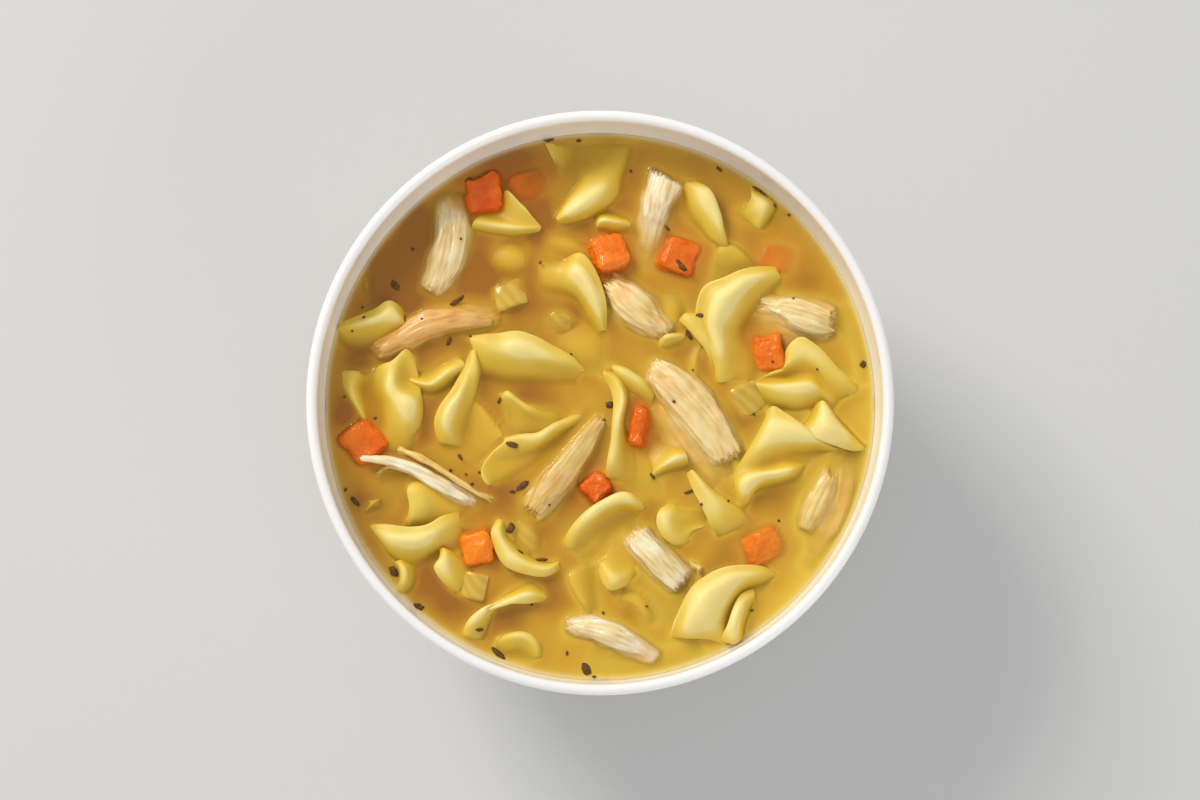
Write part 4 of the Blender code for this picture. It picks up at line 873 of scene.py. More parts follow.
# The sunk noodles. More of the same ribbons, which lie a few millimetres under the broth and show through it
# as soft yellow shapes between the ones that float.
SUNK_SHEETS = [
    # The hump behind the carrots, and the lobe and the arc in front of the chicken.
    [
        [(29, 41, -2.6), (31.4, 42.6, -1.4), (35, 42.6, -1.2), (38.6, 40, -1.8), (41.6, 37, -3)],
        [(29.6, 39, -0.8), (31.8, 40.8, 0.1), (35, 40.6, 0.2), (38, 38.2, -0.4), (40.8, 35.4, -1.4)],
        [(28.6, 35, -1.5), (32, 36.5, -0.9), (35.5, 36, -0.9), (38.5, 35, -1.4), (41, 33.6, -2)],
        [(28.5, 31, -3), (32, 32, -2.8), (36, 31, -3), (39, 31, -3), (41, 31, -3.4)],
    ],
    [
        [(-8.4, -42.4, -1.4), (-9, -45, -0.8), (-7.8, -48.4, -0.8), (-5.4, -52, -1), (-4, -54.4, -1.8)],
        [(-7, -42.4, -0.2), (-7.5, -45, 0.3), (-6.3, -48, 0.3), (-4.2, -51.6, 0.1), (-3, -53.8, -0.8)],
        [(-5.2, -42, -0.2), (-5.6, -45, 0.2), (-4.6, -48, 0.1), (-3, -51.4, -0.2), (-2.2, -53.6, -1.1)],
        [(-3.4, -41.6, -0.8), (-3.2, -45, -0.8), (-2.4, -48, -0.9), (-1.4, -51.4, -1.2), (-0.8, -53.8, -1.9)],
        [(-0.8, -41, -2.2), (-0.6, -45, -2.4), (0, -48.4, -2.4), (0.6, -51.6, -2.6), (1, -54, -3)],
    ],
    [
        [(3.6, -51.6, -2.4), (7.8, -52.4, -1.6), (9.8, -54.8, -1.6), (11.2, -58.4, -2.6)],
        [(4, -50.6, -0.9), (8.2, -51.2, -0.3), (10.7, -53.8, -0.3), (12.4, -57.8, -1.4)],
        [(4.6, -49, -0.8), (8.9, -49.4, -0.3), (12, -52.6, -0.3), (14, -57.2, -1.4)],
        [(5.4, -46.8, -2.2), (10, -47, -1.8), (14, -51, -1.8), (16, -56.6, -2.6)],
    ],
    # Those between the noodles at the bowl's back left.
    [
        [(-27, 43, -3.6), (-22.4, 44, -3.2), (-18.2, 43, -3.6)],
        [(-28, 40, -1.2), (-23.2, 40.6, -0.4), (-18.6, 39.6, -1)],
        [(-28, 36.6, -0.9), (-23.4, 36.4, -0.3), (-19, 35.8, -0.9)],
        [(-26.6, 32.4, -3.2), (-23, 32, -3), (-20, 32, -3.4)],
    ],
    [
        [(-15.6, 46.6, -1.9), (-8.4, 45, -1.4), (-3, 42.4, -1.8)],
        [(-14.6, 42.6, -0.9), (-7.6, 41.4, -0.3), (-2.6, 39.4, -0.9)],
        [(-13.4, 38.6, -1.9), (-6.8, 37.8, -1.6), (-2, 36.4, -1.9)],
    ],
    [
        [(-62.6, 36, -2.2), (-62.2, 32, -1.4), (-61.4, 27.2, -1.8)],
        [(-61.5, 35.8, -1), (-61, 31.8, -0.4), (-60.3, 27.2, -0.8)],
        [(-60.2, 35.4, -1.4), (-59.9, 31.6, -0.9), (-59.3, 27.4, -1.4)],
        [(-58.4, 34.8, -3), (-58.2, 31.4, -2.6), (-57.8, 27.8, -3)],
    ],
    # Those in the bowl's middle and under the torn chicken.
    [
        [(-12, 22, -3.6), (-6.6, 23, -2.8), (-1.4, 22, -2.4), (2.4, 18.6, -2.6)],
        [(-11.4, 17.6, -1.8), (-6.2, 18, -1), (-1.7, 17.4, -0.9), (1.8, 14.6, -1.3)],
        [(-10.8, 13.4, -1.5), (-6, 13, -0.8), (-2, 12.4, -0.8), (1.5, 10.6, -1.3)],
        [(-9, 8.6, -2.8), (-5.4, 8, -2.2), (-2, 7.6, -2.2), (1, 7, -2.6)],
    ],
    [
        [(15, 29, -2.2), (15.8, 24.4, -1.6), (16.4, 20.2, -1.8)],
        [(17, 29, -1), (17.8, 24.6, -0.5), (18.2, 20.4, -0.7)],
        [(19.6, 29, -1), (20.2, 25, -0.6), (20, 21, -0.8)],
        [(22.4, 28.4, -2.4), (22.8, 25, -1.8), (22.2, 21.6, -2)],
    ],
    [
        [(27.2, 15.6, -1.6), (25.8, 10.6, -1), (26.2, 5.2, -1.4)],
        [(26, 15.6, -0.5), (24.6, 10.4, -0.1), (24.9, 5, -0.5)],
        [(24.6, 15.6, -1), (23, 10.4, -0.8), (23.2, 4.8, -1.1)],
        [(21.6, 15.4, -2.6), (20.2, 10.4, -2.4), (20.6, 5, -2.6)],
    ],
    [
        [(-33.4, 3.4, -2), (-29.8, 0, -1.2), (-26.8, -3.8, -1), (-24.2, -7.6, -0.9)],
        [(-34, 2.4, -0.8), (-30.7, -1, -0.1), (-27.7, -4.8, 0), (-25, -8.4, 0.1)],
        [(-36, -1, -1.4), (-33.4, -4.4, -0.8), (-30.5, -8.2, -0.6), (-28, -11.6, -0.6)],
        [(-39, -6, -1.8), (-37, -9.6, -1.1), (-34.5, -13, -1), (-32, -16.5, -1.4)],
        [(-43, -10.6, -1.3), (-41, -13.2, -1.3), (-38, -16, -1.6), (-35, -18.5, -2.2)],
        [(-46.4, -11.4, -2), (-46, -13.6, -2.6), (-42, -18, -3.2), (-38, -21, -4)],
    ],
    [
        [(6, -7, -3.4), (11, -8.4, -3.2), (16, -9, -3.2)],
        [(6.2, -12, -1.8), (11.2, -13, -1.6), (15, -13.8, -1.8)],
        [(6.6, -17.6, -1.5), (11.6, -18.6, -1.4), (16, -19.8, -1.8)],
        [(7.4, -22.8, -2.6), (12.4, -23.6, -2.6), (16.8, -24.8, -3.2)],
    ],
    # Those along the wall, at the bowl's front left, front and right.
    [
        [(-59, -15.6, -3.4), (-54, -16.6, -2.2), (-49, -17.6, -1.6)],
        [(-60, -20, -2.6), (-54.6, -20.6, -1.6), (-50, -21, -1.6)],
        [(-61, -24.6, -2.4), (-56, -24.6, -2), (-51.6, -25, -2.8)],
        [(-62, -29, -3.4), (-57.6, -28.6, -3.4), (-53.6, -28.6, -4.6)],
    ],
    [
        [(59.4, -19, -2.8), (58.8, -27, -2.6), (55, -34, -2.8), (48.6, -41.6, -3.2)],
        [(63.4, -20, -1.4), (62.2, -28, -1), (58.4, -35.6, -1.2), (52.4, -43, -1.8)],
        [(68.6, -21, -1.8), (66, -29.6, -1.4), (61.6, -38, -1.6), (55.4, -45.4, -2)],
    ],
    [
        [(60, 26, -3), (62, 18, -2.8), (65, 12.4, -3), (66, 4, -3)],
        [(63.4, 27, -1.8), (66, 19, -1.4), (68, 13, -1.2), (69.4, 5, -1.8)],
        [(66, 28, -2.6), (68.4, 20, -2), (70, 13.4, -1.8), (71, 5, -2.2)],
    ],
    [
        [(-2, -61.6, -4), (6, -64, -3.4), (16, -61.6, -3.4), (25, -60, -3.6)],
        [(-4, -65.4, -2.4), (6, -67, -1.6), (17, -64.6, -1.4), (27, -62, -1.8)],
        [(-5, -70, -2.6), (6, -70.4, -1.8), (18.4, -68, -1.6), (29, -65, -2)],
    ],
    [
        [(-50, -51, -3.4), (-43, -54.6, -3), (-36, -60, -3.2)],
        [(-52, -52, -2), (-45, -57, -1.4), (-37, -63, -1.8)],
    ],
]
bm = joined([new_noodle(lines, afloat=False) for lines in SUNK_SHEETS])
keep_in_bowl(bm)
sunk_noodles = new_piece("sunk_noodles", bm, pasta)
mark_painted_fold_shading(sunk_noodles)
floating.append(sunk_noodles)


# The chicken. Breast meat poached in the stock and torn by hand along its grain into shreds and blocks, so
# its long fibres show on top and it ends ragged.
LOOSE_SHREDS = [
    [
        [(-51.8, -12.7, 0.4), (-47.4, -14.6, 1.4), (-43.2, -16.6, 1.6), (-38.2, -19.8, 1.8),
         (-32.6, -23.4, 1.6), (-28.4, -25, 0.4)],
        [(-51.3, -11.9, 0.8), (-46.8, -13.6, 2), (-42.8, -15.6, 2.2), (-37.8, -18.8, 2.4),
         (-32.2, -22.3, 2.2), (-28, -24.2, 0.8)],
        [(-51, -11.3, 0.2), (-46.4, -12.8, 1.2), (-42.4, -14.8, 1.4), (-37.4, -18, 1.6),
         (-31.8, -21.6, 1.4), (-27.6, -23.6, 0.2)],
    ],
    [
        [(-57.6, -18.6, -0.4), (-56, -17.2, 0.2), (-53.4, -16.6, 0.2), (-50, -17.4, 0.2)],
        [(-57.2, -17.8, 0.2), (-55.4, -16.2, 1), (-53, -15.6, 1.2), (-49.8, -16.2, 1)],
        [(-56.6, -17, -0.4), (-55, -15.2, 0.4), (-52.6, -14.8, 0.6), (-49.6, -15.2, 0.6)],
    ],
    [
        [(23.6, -40.8, -0.4), (24.6, -42.6, 0.2), (26, -44.2, -0.4)],
        [(24.4, -41.2, 0.4), (25.4, -42.4, 1.2), (26, -43.4, 0.4)],
        [(25, -41, -0.2), (26, -41.9, 0.4), (26.2, -42.9, -0.2)],
    ],
]
# Wider parts of three pieces, which lie just under the broth beside what shows of them.
SUNK_CHICKEN = [
    [
        [(66, -13.5, -2.6), (67.4, -22, -1.6), (64.4, -30, -1.6), (60, -37.6, -2.6)],
        [(63, -14.5, -0.9), (64, -22, -0.2), (61.5, -30, -0.2), (57.4, -37, -1.1)],
        [(59.5, -15.5, -1.5), (60, -22, -0.6), (57, -29, -0.6), (54, -35.6, -1.6)],
    ],
    [
        [(38.6, 25, -2.4), (43, 26, -1), (48, 26, -0.4), (53, 24.6, -1)],
        [(40, 21.8, -1.6), (44, 22, -0.4), (49, 21.5, 0), (54, 20.5, -0.8)],
        [(42.5, 17.6, -2.4), (46, 17.4, -1.2), (50, 17, -0.8), (55, 16.6, -1.4)],
    ],
    [
        [(13.4, -1, -1.8), (16.6, -8, -1.1), (21, -14, -1), (27, -20.4, -1.8)],
        [(16, 0.5, -0.8), (19.6, -7, 0), (24.4, -13, 0), (30, -18.6, -1)],
        [(19, 2, -0.8), (23, -5.5, -0.2), (28, -11, -0.2), (33, -16.4, -1)],
    ],
]
SHRED_THICKNESS, SHRED_RIM = 1.4 * MM, 0.7 * MM
SUNK_THICKNESS, SUNK_RIM = 2 * MM, 0.8 * MM
LUMPS = (0.5 * MM, 4 * MM)
STRAND_WIDTH, STRAND_LENGTH, STRAND_DEPTH = 1.5 * MM, 16 * MM, 0.36
FIBRE_WIDTH, FIBRE_LENGTH, FIBRE_DEPTH = 0.6 * MM, 9 * MM, 0.14
TEAR_WIDTH, TEAR_HEIGHT = 0.9 * MM, 1.2 * MM
FRAY = 2.2 * MM
FRAY_START = 0.6
SPREAD = 0.9
SPREAD_FROM = 0.5 * MM
SPREAD_MOST = 2.2 * MM
# How far the stock has gone into each piece, as the tint that it gives to the white meat.
SOAKED = {
    "chicken_01": "#fff9ea",
    "chicken_02": "#fff9ee",
    "chicken_03": "#f3c78a",
    "chicken_04": "#fcecc0",
    "chicken_05": "#fdeec4",
    "chicken_06": "#fcf2d0",
    "chicken_07": "#fffefa",
    "chicken_08": "#ecd69c",
    "chicken_09": "#f8e8b0",
    "chicken_10": "#fffef6",
    "chicken_11": "#ffffff",
}
SHRED_SOAKED = "#f8e3a0"
SUNK_SOAKED = "#fbe3ac"


def merged_copy(node, face_angle):
    """A copy of a solid with its corners merged and its triangles joined again into four-sided faces."""
    bm = bmesh.new()
    bm.from_mesh(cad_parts[node].data)
    bmesh.ops.remove_doubles(bm, verts=bm.verts[:], dist=1e-6)
    bmesh.ops.join_triangles(
        bm,
        faces=bm.faces[:],
        angle_face_threshold=math.radians(face_angle),
        angle_shape_threshold=math.radians(70),
    )
    return bm


def spread_below(bm, slope):
    """Spreads a piece's sides under the broth's level, so that they slope away and fade into the broth."""
    for vert in bm.verts:
        depth = max(0.0, LEVEL + SPREAD_FROM - vert.co.z)
        if depth > 0:
            sideways = Vector((vert.normal.x, vert.normal.y, 0))
            vert.co += sideways * min(slope * depth, SPREAD_MOST)
    bm.normal_update()


def stain_where_sunk(tree, shader, place, fresh, stain, lowest, highest):
    """Colours a piece from its fresh colour over the broth to the stock's stain in it."""
    height = add_node(tree, "ShaderNodeSeparateXYZ", inputs={"Vector": place}).outputs["Z"]
    sunk = add_node(
        tree,
        "ShaderNodeMapRange",
        {"interpolation_type": "SMOOTHSTEP"},
        {"Value": height, "From Min": LEVEL + lowest, "From Max": LEVEL + highest},
    )
    stained = add_node(
        tree, "ShaderNodeMix", {"data_type": "RGBA"}, {0: sunk.outputs["Result"], 6: tint(stain), 7: fresh}
    )
    tree.links.new(stained.outputs[2], shader.inputs["Base Color"])


def grain_places(coords):
    """How far each point is across the grain, up, and along it, on a grain that bends with the piece."""
    flat = coords[:, :2] - coords[:, :2].mean(0)
    axes = np.linalg.svd(flat, full_matrices=False)[2]
    along = flat @ axes[0]
    across = flat @ axes[1]
    bend = np.polyfit(along, across, 2)
    return np.stack([across - np.polyval(bend, along), coords[:, 2], along], axis=1)


# Poached chicken breast: cream-white fibres, moist, with stock-stained hollows and a pinkish tinge in places.
meat, tree, shader = new_finish(
    "poached_chicken_breast",
    Roughness=0.4,
    IOR=1.4,
    Subsurface_Weight=0.25,
    Subsurface_Scale=1.2 * MM,
    Coat_Weight=0.5,
    Coat_Roughness=0.14,
)
shader.inputs["Subsurface Radius"].default_value = (1.0, 0.75, 0.5)
place = add_node(tree, "ShaderNodeTexCoord").outputs["Object"]
grain = add_node(tree, "ShaderNodeAttribute", {"attribute_name": "grain"}).outputs["Vector"]
# Muscle fibres about 0.6 mm thick run along the piece for some 12 mm.
drawn = add_node(tree, "ShaderNodeMapping", inputs={"Vector": grain, "Scale": (1.0, 1.0, 0.06)})
fibres = add_node(
    tree, "ShaderNodeTexNoise", inputs={"Vector": drawn.outputs["Vector"], "Scale": 1100.0, "Detail": 3.0}
)
streaks = add_node(tree, "ShaderNodeValToRGB", inputs={"Fac": fibres.outputs["Fac"]})
streaks.color_ramp.elements[0].position = 0.3
streaks.color_ramp.elements[0].color = tint("#e6cd90")
streaks.color_ramp.elements[1].position = 0.56
streaks.color_ramp.elements[1].color = tint("#f8f1da")
# Some patches of about 8 mm are pinkish, and others are stained gold.
patches = add_node(tree, "ShaderNodeTexNoise", inputs={"Vector": place, "Scale": 110.0, "Detail": 2.0})
tinges = add_node(tree, "ShaderNodeValToRGB", inputs={"Fac": patches.outputs["Fac"]})
tinges.color_ramp.elements[0].position = 0.36
tinges.color_ramp.elements[0].color = tint("#f8d9b4")
tinges.color_ramp.elements[1].position = 0.62
tinges.color_ramp.elements[1].color = tint("#f2dc94")
plain = tinges.color_ramp.elements.new(0.46)
plain.color = tint("#fffdf6")
tinged = add_node(
    tree,
    "ShaderNodeMix",
    {"data_type": "RGBA", "blend_type": "MULTIPLY"},
    {0: 0.6, 6: streaks.outputs["Color"], 7: tinges.outputs["Color"]},
)
# The stock has stained some pieces more than others, and most where they lie low.
soaked = add_node(tree, "ShaderNodeAttribute", {"attribute_name": "soaked"}).outputs["Color"]
steeped = add_node(
    tree,
    "ShaderNodeMix",
    {"data_type": "RGBA", "blend_type": "MULTIPLY"},
    {0: 1.0, 6: tinged.outputs[2], 7: soaked},
)
stain_where_sunk(tree, shader, place, steeped.outputs[2], "#d6aa44", -2 * MM, 1.8 * MM)
relief = add_node(
    tree, "ShaderNodeBump", inputs={"Height": fibres.outputs["Fac"], "Strength": 0.45, "Distance": 0.25 * MM}
)
tree.links.new(relief.outputs["Normal"], shader.inputs["Normal"])


def torn_piece(name, bm, seed, soaking):
    """Draws out fibres on the bmesh along its grain, frays its ends, and makes it a chicken piece."""
    pull_by_noise(bm, *LUMPS, seed)
    coords = np.array([vert.co for vert in bm.verts])
    fibre = grain_places(coords)
    half = np.abs(fibre[:, 2]).max()
    grain_way = np.polyfit(fibre[:, 2], coords[:, :2], 1)[0]
    grain_way /= np.linalg.norm(grain_way)
    spread_below(bm, SPREAD)
    for vert, (across, up, along) in zip(bm.verts, fibre):
        strand = noise.noise(Vector((across / STRAND_WIDTH, up / STRAND_WIDTH, along / STRAND_LENGTH + seed)))
        fine = noise.noise(Vector((across / FIBRE_WIDTH, up / FIBRE_WIDTH, along / FIBRE_LENGTH - seed)))
        torn = noise.noise(Vector((across / TEAR_WIDTH, up / TEAR_HEIGHT, seed)))
        end = max(0.0, abs(along) / half - FRAY_START) / (1 - FRAY_START)
        fray = math.copysign(FRAY * end**2 * torn, along)
        vert.co += vert.normal * (STRAND_DEPTH * strand + FIBRE_DEPTH * fine) * MM
        vert.co += Vector((*grain_way, 0)) * fray
    keep_in_bowl(bm)
    chicken = new_piece(name, bm, meat)
    mark(chicken, "grain", fibre, "FLOAT_VECTOR")
    mark(chicken, "soaked", np.tile(tint(soaking), len(coords)), "FLOAT_COLOR")
    floating.append(chicken)
    return chicken


for number, node in nodes_of("chicken"):
    bm = smoothed(merged_copy(node, 60), 4, sharp_from=55, crease=0.4)
    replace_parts(torn_piece("torn_" + node, bm, number + 40, SOAKED[node]), node)
for number, lines in enumerate(LOOSE_SHREDS):
    bm = smoothed(new_sheet(lines, SHRED_THICKNESS, SHRED_RIM), 2)
    torn_piece(f"loose_shred_{number + 1}", bm, number + 60, SHRED_SOAKED)
for number, lines in enumerate(SUNK_CHICKEN):
    bm = smoothed(new_sheet(lines, SUNK_THICKNESS, SUNK_RIM, afloat=False), 2)
    torn_piece(f"sunk_chicken_{number + 1}", bm, number + 70, SUNK_SOAKED)


# The carrots. Peeled roots cut into dice of about 10 mm and simmered until their corners soften, so their
# tops stand wet and sparkling out of the broth, and a few lie wholly sunk in it.
SUNK_DICE = [
    (-18.5, 57.5, -0.8, (10.5, 8.5, 7), 20),
    (46, 38, -1.2, (9.5, 8, 7), -15),
    (-5.5, 2, -4.2, (7, 7, 6), 30),
    (6, 56, -4, (4.5, 4.5, 4), 10),
]
DICE_BEVEL = 1.2 * MM
DICE_LEAN = 8
SOFTENED = (1.1 * MM, 5 * MM)
BEADED = (0.25 * MM, 1.2 * MM)
# How yellow each piece is: 0 from the redder skin side, 1 from the core.
RIPENESS = (0.05, 0.5, 0.2, 0.4, 0.35, 0.1, 0.0, 0.8, 0.6)
SUNK_RIPENESS = 0.4
LOW_CARROT = "carrot_09"
LOW_CARROT_DEPTH = 0.6 * MM

# Simmered carrot: strong orange, deeper where it lies in the broth, wet and beaded.
carrot_flesh, tree, shader = new_finish(
    "simmered_carrot",
    Roughness=0.22,
    IOR=1.36,
    Subsurface_Weight=0.3,
    Subsurface_Scale=2 * MM,
    Coat_Weight=0.2,
    Coat_Roughness=0.05,
)
shader.inputs["Subsurface Radius"].default_value = (1.0, 0.5, 0.1)
place = add_node(tree, "ShaderNodeTexCoord").outputs["Object"]
flecks = add_node(tree, "ShaderNodeTexNoise", inputs={"Vector": place, "Scale": 260.0, "Detail": 4.0})
# Some dice are cut from the redder skin side and others from the yellower core.
ripe = add_node(tree, "ShaderNodeAttribute", {"attribute_name": "ripe"}).outputs["Fac"]
root = add_node(
    tree, "ShaderNodeMath", {"operation": "MULTIPLY_ADD"}, {0: ripe, 1: 0.6, 2: flecks.outputs["Fac"]}
)
orange = add_node(tree, "ShaderNodeValToRGB", inputs={"Fac": root.outputs["Value"]})
orange.color_ramp.elements[0].position = 0.3
orange.color_ramp.elements[0].color = tint("#e04e04")
orange.color_ramp.elements[1].color = tint("#fb8c16")
stain_where_sunk(tree, shader, place, orange.outputs["Color"], "#c85c10", -5 * MM, 0.4 * MM)
# The cut cells stand up as wet beads of about 0.7 mm, which catch the light one by one.
beads = add_node(tree, "ShaderNodeTexNoise", inputs={"Vector": place, "Scale": 1300.0, "Detail": 1.0})
relief = add_node(
    tree, "ShaderNodeBump", inputs={"Height": beads.outputs["Fac"], "Strength": 0.9, "Distance": 0.35 * MM}
)
tree.links.new(relief.outputs["Normal"], shader.inputs["Normal"])

for number, node in nodes_of("carrot"):
    bm = smoothed(merged_copy(node, 20), 4, sharp_from=30, crease=0.45)
    pull_by_noise(bm, *SOFTENED, number + 80)
    pull_by_noise(bm, *BEADED, number + 90)
    spread_below(bm, 0.3 * SPREAD)
    if node == LOW_CARROT:
        bmesh.ops.translate(bm, vec=(0, 0, -LOW_CARROT_DEPTH), verts=bm.verts[:])
    keep_in_bowl(bm)
    carrot = new_piece("simmered_" + node, bm, carrot_flesh)
    mark(carrot, "ripe", np.full(len(carrot.data.vertices), RIPENESS[number]))
    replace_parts(carrot, node)
    floating.append(carrot)

dice = []
for number, (x, y, lift, size, turn) in enumerate(SUNK_DICE):
    bm = bmesh.new()
    bmesh.ops.create_cube(bm, size=1)
    bmesh.ops.scale(bm, vec=[side * MM for side in size], verts=bm.verts[:])
    bmesh.ops.bevel(
        bm, geom=bm.edges[:], offset=DICE_BEVEL, segments=2, affect="EDGES", profile=0.5, material=-1
    )
    lean = Matrix.Rotation(math.radians(DICE_LEAN * (-1) ** number), 4, "X")
    turned = Matrix.Rotation(math.radians(turn), 4, "Z") @ lean
    middle = Matrix.Translation(spot(x, y, lift - size[2] / 2))
    bmesh.ops.transform(bm, matrix=middle @ turned, verts=bm.verts[:])
    bm = smoothed(bm, 3)
    pull_by_noise(bm, *SOFTENED, number + 100)
    dice.append(bm)
bm = joined(dice)
keep_in_bowl(bm)
sunk_carrots = new_piece("sunk_carrots", bm, carrot_flesh)
mark(sunk_carrots, "ripe", np.full(len(sunk_carrots.data.vertices), SUNK_RIPENESS))
floating.append(sunk_carrots)


# The celery and the onion. Stalks sliced across into bent slabs and onion cut in petals, which simmer until
# they are half clear and take on the colour of the stock.
ONION_PETALS = [
    [
        [(-23.4, -29.6, -3.4), (-23, -34, -2.6), (-20.4, -38, -3)],
        [(-21, -29.4, -2), (-20.6, -34, -1.2), (-18.4, -38.6, -2)],
        [(-18, -29.4, -1.8), (-17.8, -34, -1), (-16, -38.6, -1.8)],
        [(-15.2, -30, -3), (-15, -34, -2.4), (-13.6, -38, -3)],
    ],
    [
        [(-14, 24, -1.2), (-10.4, 24.6, -0.6), (-6.8, 23.8, -1.2)],
        [(-13.6, 22.8, -0.5), (-10.4, 23.3, 0), (-7, 22.6, -0.5)],
        [(-14.4, 19, -1.8), (-11, 19, -1.2), (-7.6, 19.2, -2)],
    ],
    [
        [(-60.4, -28, -0.6), (-58.4, -26.2, 0), (-56.2, -25, -0.4)],
        [(-60.2, -27.2, 0.2), (-58.4, -25.6, 0.8), (-56.6, -24.3, 0.3)],
        [(-60.6, -26.2, -1.4), (-58.8, -24.8, -0.6), (-57, -23.6, -1.2)],
    ],
]

PETAL_THICKNESS, PETAL_RIM = 1.6 * MM, 0.6 * MM
SLICE_LUMPS = (0.3 * MM, 3 * MM)

# Simmered celery: half clear, yellow-green, wet, with faint ribs.
celery_flesh, tree, shader = new_finish(
    "simmered_celery",
    Roughness=0.18,
    IOR=1.37,
    Subsurface_Weight=0.3,
    Subsurface_Scale=2 * MM,
    Coat_Weight=0.4,
)
place = add_node(tree, "ShaderNodeTexCoord").outputs["Object"]
ribs = add_node(
    tree,
    "ShaderNodeTexWave",
    {"wave_type": "BANDS", "bands_direction": "DIAGONAL"},
    {"Vector": place, "Scale": 180.0, "Distortion": 2.0, "Detail": 1.0},
)
flesh = add_node(tree, "ShaderNodeValToRGB", inputs={"Fac": ribs.outputs["Fac"]})
flesh.color_ramp.elements[0].color = tint("#cca53a")
flesh.color_ramp.elements[1].color = tint("#d6b448")
tree.links.new(flesh.outputs["Color"], shader.inputs["Base Color"])
relief = add_node(
    tree, "ShaderNodeBump", inputs={"Height": ribs.outputs["Fac"], "Strength": 0.2, "Distance": 0.05 * MM}
)
tree.links.new(relief.outputs["Normal"], shader.inputs["Normal"])

for number, node in nodes_of("celery"):
    bm = smoothed(merged_copy(node, 30), 3, sharp_from=50, crease=0.6)
    pull_by_noise(bm, *SLICE_LUMPS, number + 120)
    keep_in_bowl(bm)
    celery = new_piece("simmered_" + node, bm, celery_flesh)
    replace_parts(celery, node)
    floating.append(celery)
bm = joined([smoothed(new_sheet(lines, PETAL_THICKNESS, PETAL_RIM), 1) for lines in ONION_PETALS])
keep_in_bowl(bm)
onion = new_piece("sunk_onion_petals", bm, celery_flesh)
floating.append(onion)


# The herbs. Dried thyme leaves and crumbs of other herbs, which swell and darken in the broth and float
# flat on it. Each is (mm to the right, mm to the back, length, width, turn in degrees).
HERB_LEAVES = [
    (-34, 58.8, 2.2, 1, 30), (-13.5, 69.3, 3, 1, 0), (-5.5, 69, 1.2, 0.8, 0), (31, 61.5, 2, 0.9, -40),
    (49, 49.5, 0.8, 0.8, 0), (17.5, 46, 1.5, 0.8, -50), (21, 36, 4, 1.5, -50), (-53, 31, 2.6, 1.7, -50),
    (-48.5, 40.5, 0.9, 0.7, 0), (-61.5, 25.3, 0.6, 0.6, 0), (-61, 22.5, 0.8, 0.6, 20), (-64, 19, 0.6, 0.6, 0),
    (-37, 27, 4.5, 1.3, 35), (-39, 16.5, 2.2, 1, 65), (-33.5, 17.8, 0.8, 0.7, 0), (-15.5, 37, 0.9, 0.7, 40),
    (-7.5, 13, 0.8, 0.7, 0), (26, 23, 2.8, 1, 0), (23, 18, 3, 1, -60), (50, 27.5, 0.6, 0.6, 0),
    (44.5, 11, 0.8, 0.7, 0), (24, 9, 0.6, 0.6, 0), (19, 0.5, 0.9, 0.8, 0), (39.7, -2.5, 0.8, 0.7, 0),
    (68, 10.5, 2, 1.5, 80), (2.5, 0, 2.2, 1.8, 20), (1, -4, 0.8, 0.7, 0), (-22.5, -10.5, 3.5, 1.5, -15),
    (-20, -21, 3.5, 1.5, 35), (-22.5, -22.5, 1.8, 0.7, 0), (-36, -13.5, 2, 0.8, -60),
    (-38.5, -17, 1, 0.7, 60), (-34.5, -18, 0.6, 0.6, 0), (-31, -17.5, 0.8, 0.7, 0), (-33, -20.5, 1, 0.7, 20),
    (-65.5, -22, 1.2, 0.7, 70), (-63, -25, 3, 1.2, -50), (-58, -3.5, 1, 0.7, 30), (-23, -32, 3, 2, 70),
    (-20.5, -38, 2, 0.7, -35), (-15, -40, 3, 0.8, 0), (23, -22.5, 3, 0.7, 20), (26, -26, 0.8, 0.7, 0),
    (13.5, -18.5, 2, 0.8, -50), (-53, -43, 3, 2, -50), (-46.5, -52, 3, 1.5, -25), (-31, -58, 2.4, 0.9, 0),
    (-26, -64, 4.5, 1.3, -40), (-17.5, -51.5, 0.9, 0.7, 90), (0.8, -53.7, 0.8, 0.7, 90),
    (-8.5, -64, 1.3, 0.6, 80), (-3.5, -68, 3.5, 2.2, -60), (-1.5, -70, 1, 0.7, 0), (-36, 43, 0.7, 0.6, 0),
    (-26, 1, 1.6, 0.7, 70), (8, 61, 0.8, 0.7, 0), (56, 9, 0.7, 0.6, 0), (-13, -26, 0.7, 0.6, 0),
    (46, -30, 0.7, 0.6, 0), (12, -52, 0.7, 0.6, 0), (39, -53, 0.8, 0.7, 0), (-66, 2, 0.7, 0.6, 0),
    (33, -25, 0.6, 0.6, 0), (-46, 22, 0.7, 0.6, 0),
]
HERB_STEM = [(39.5, 57), (42, 55.6), (44, 53.2), (45.8, 51.4)]
HERB_THICKNESS = 0.5 * MM
HERB_FLOAT = 0.35 * MM
HERB_BEND = 0.35
HERB_ROUGHNESS = 0.5
STEM_THICKNESS, STEM_RIM = 0.5 * MM, 0.4 * MM

# Dried thyme: a dark brown-green leaf, matt, wrinkled and wet.
herb_leaf, tree, shader = new_finish("dried_thyme", Roughness=0.5, IOR=1.4)
place = add_node(tree, "ShaderNodeTexCoord").outputs["Object"]
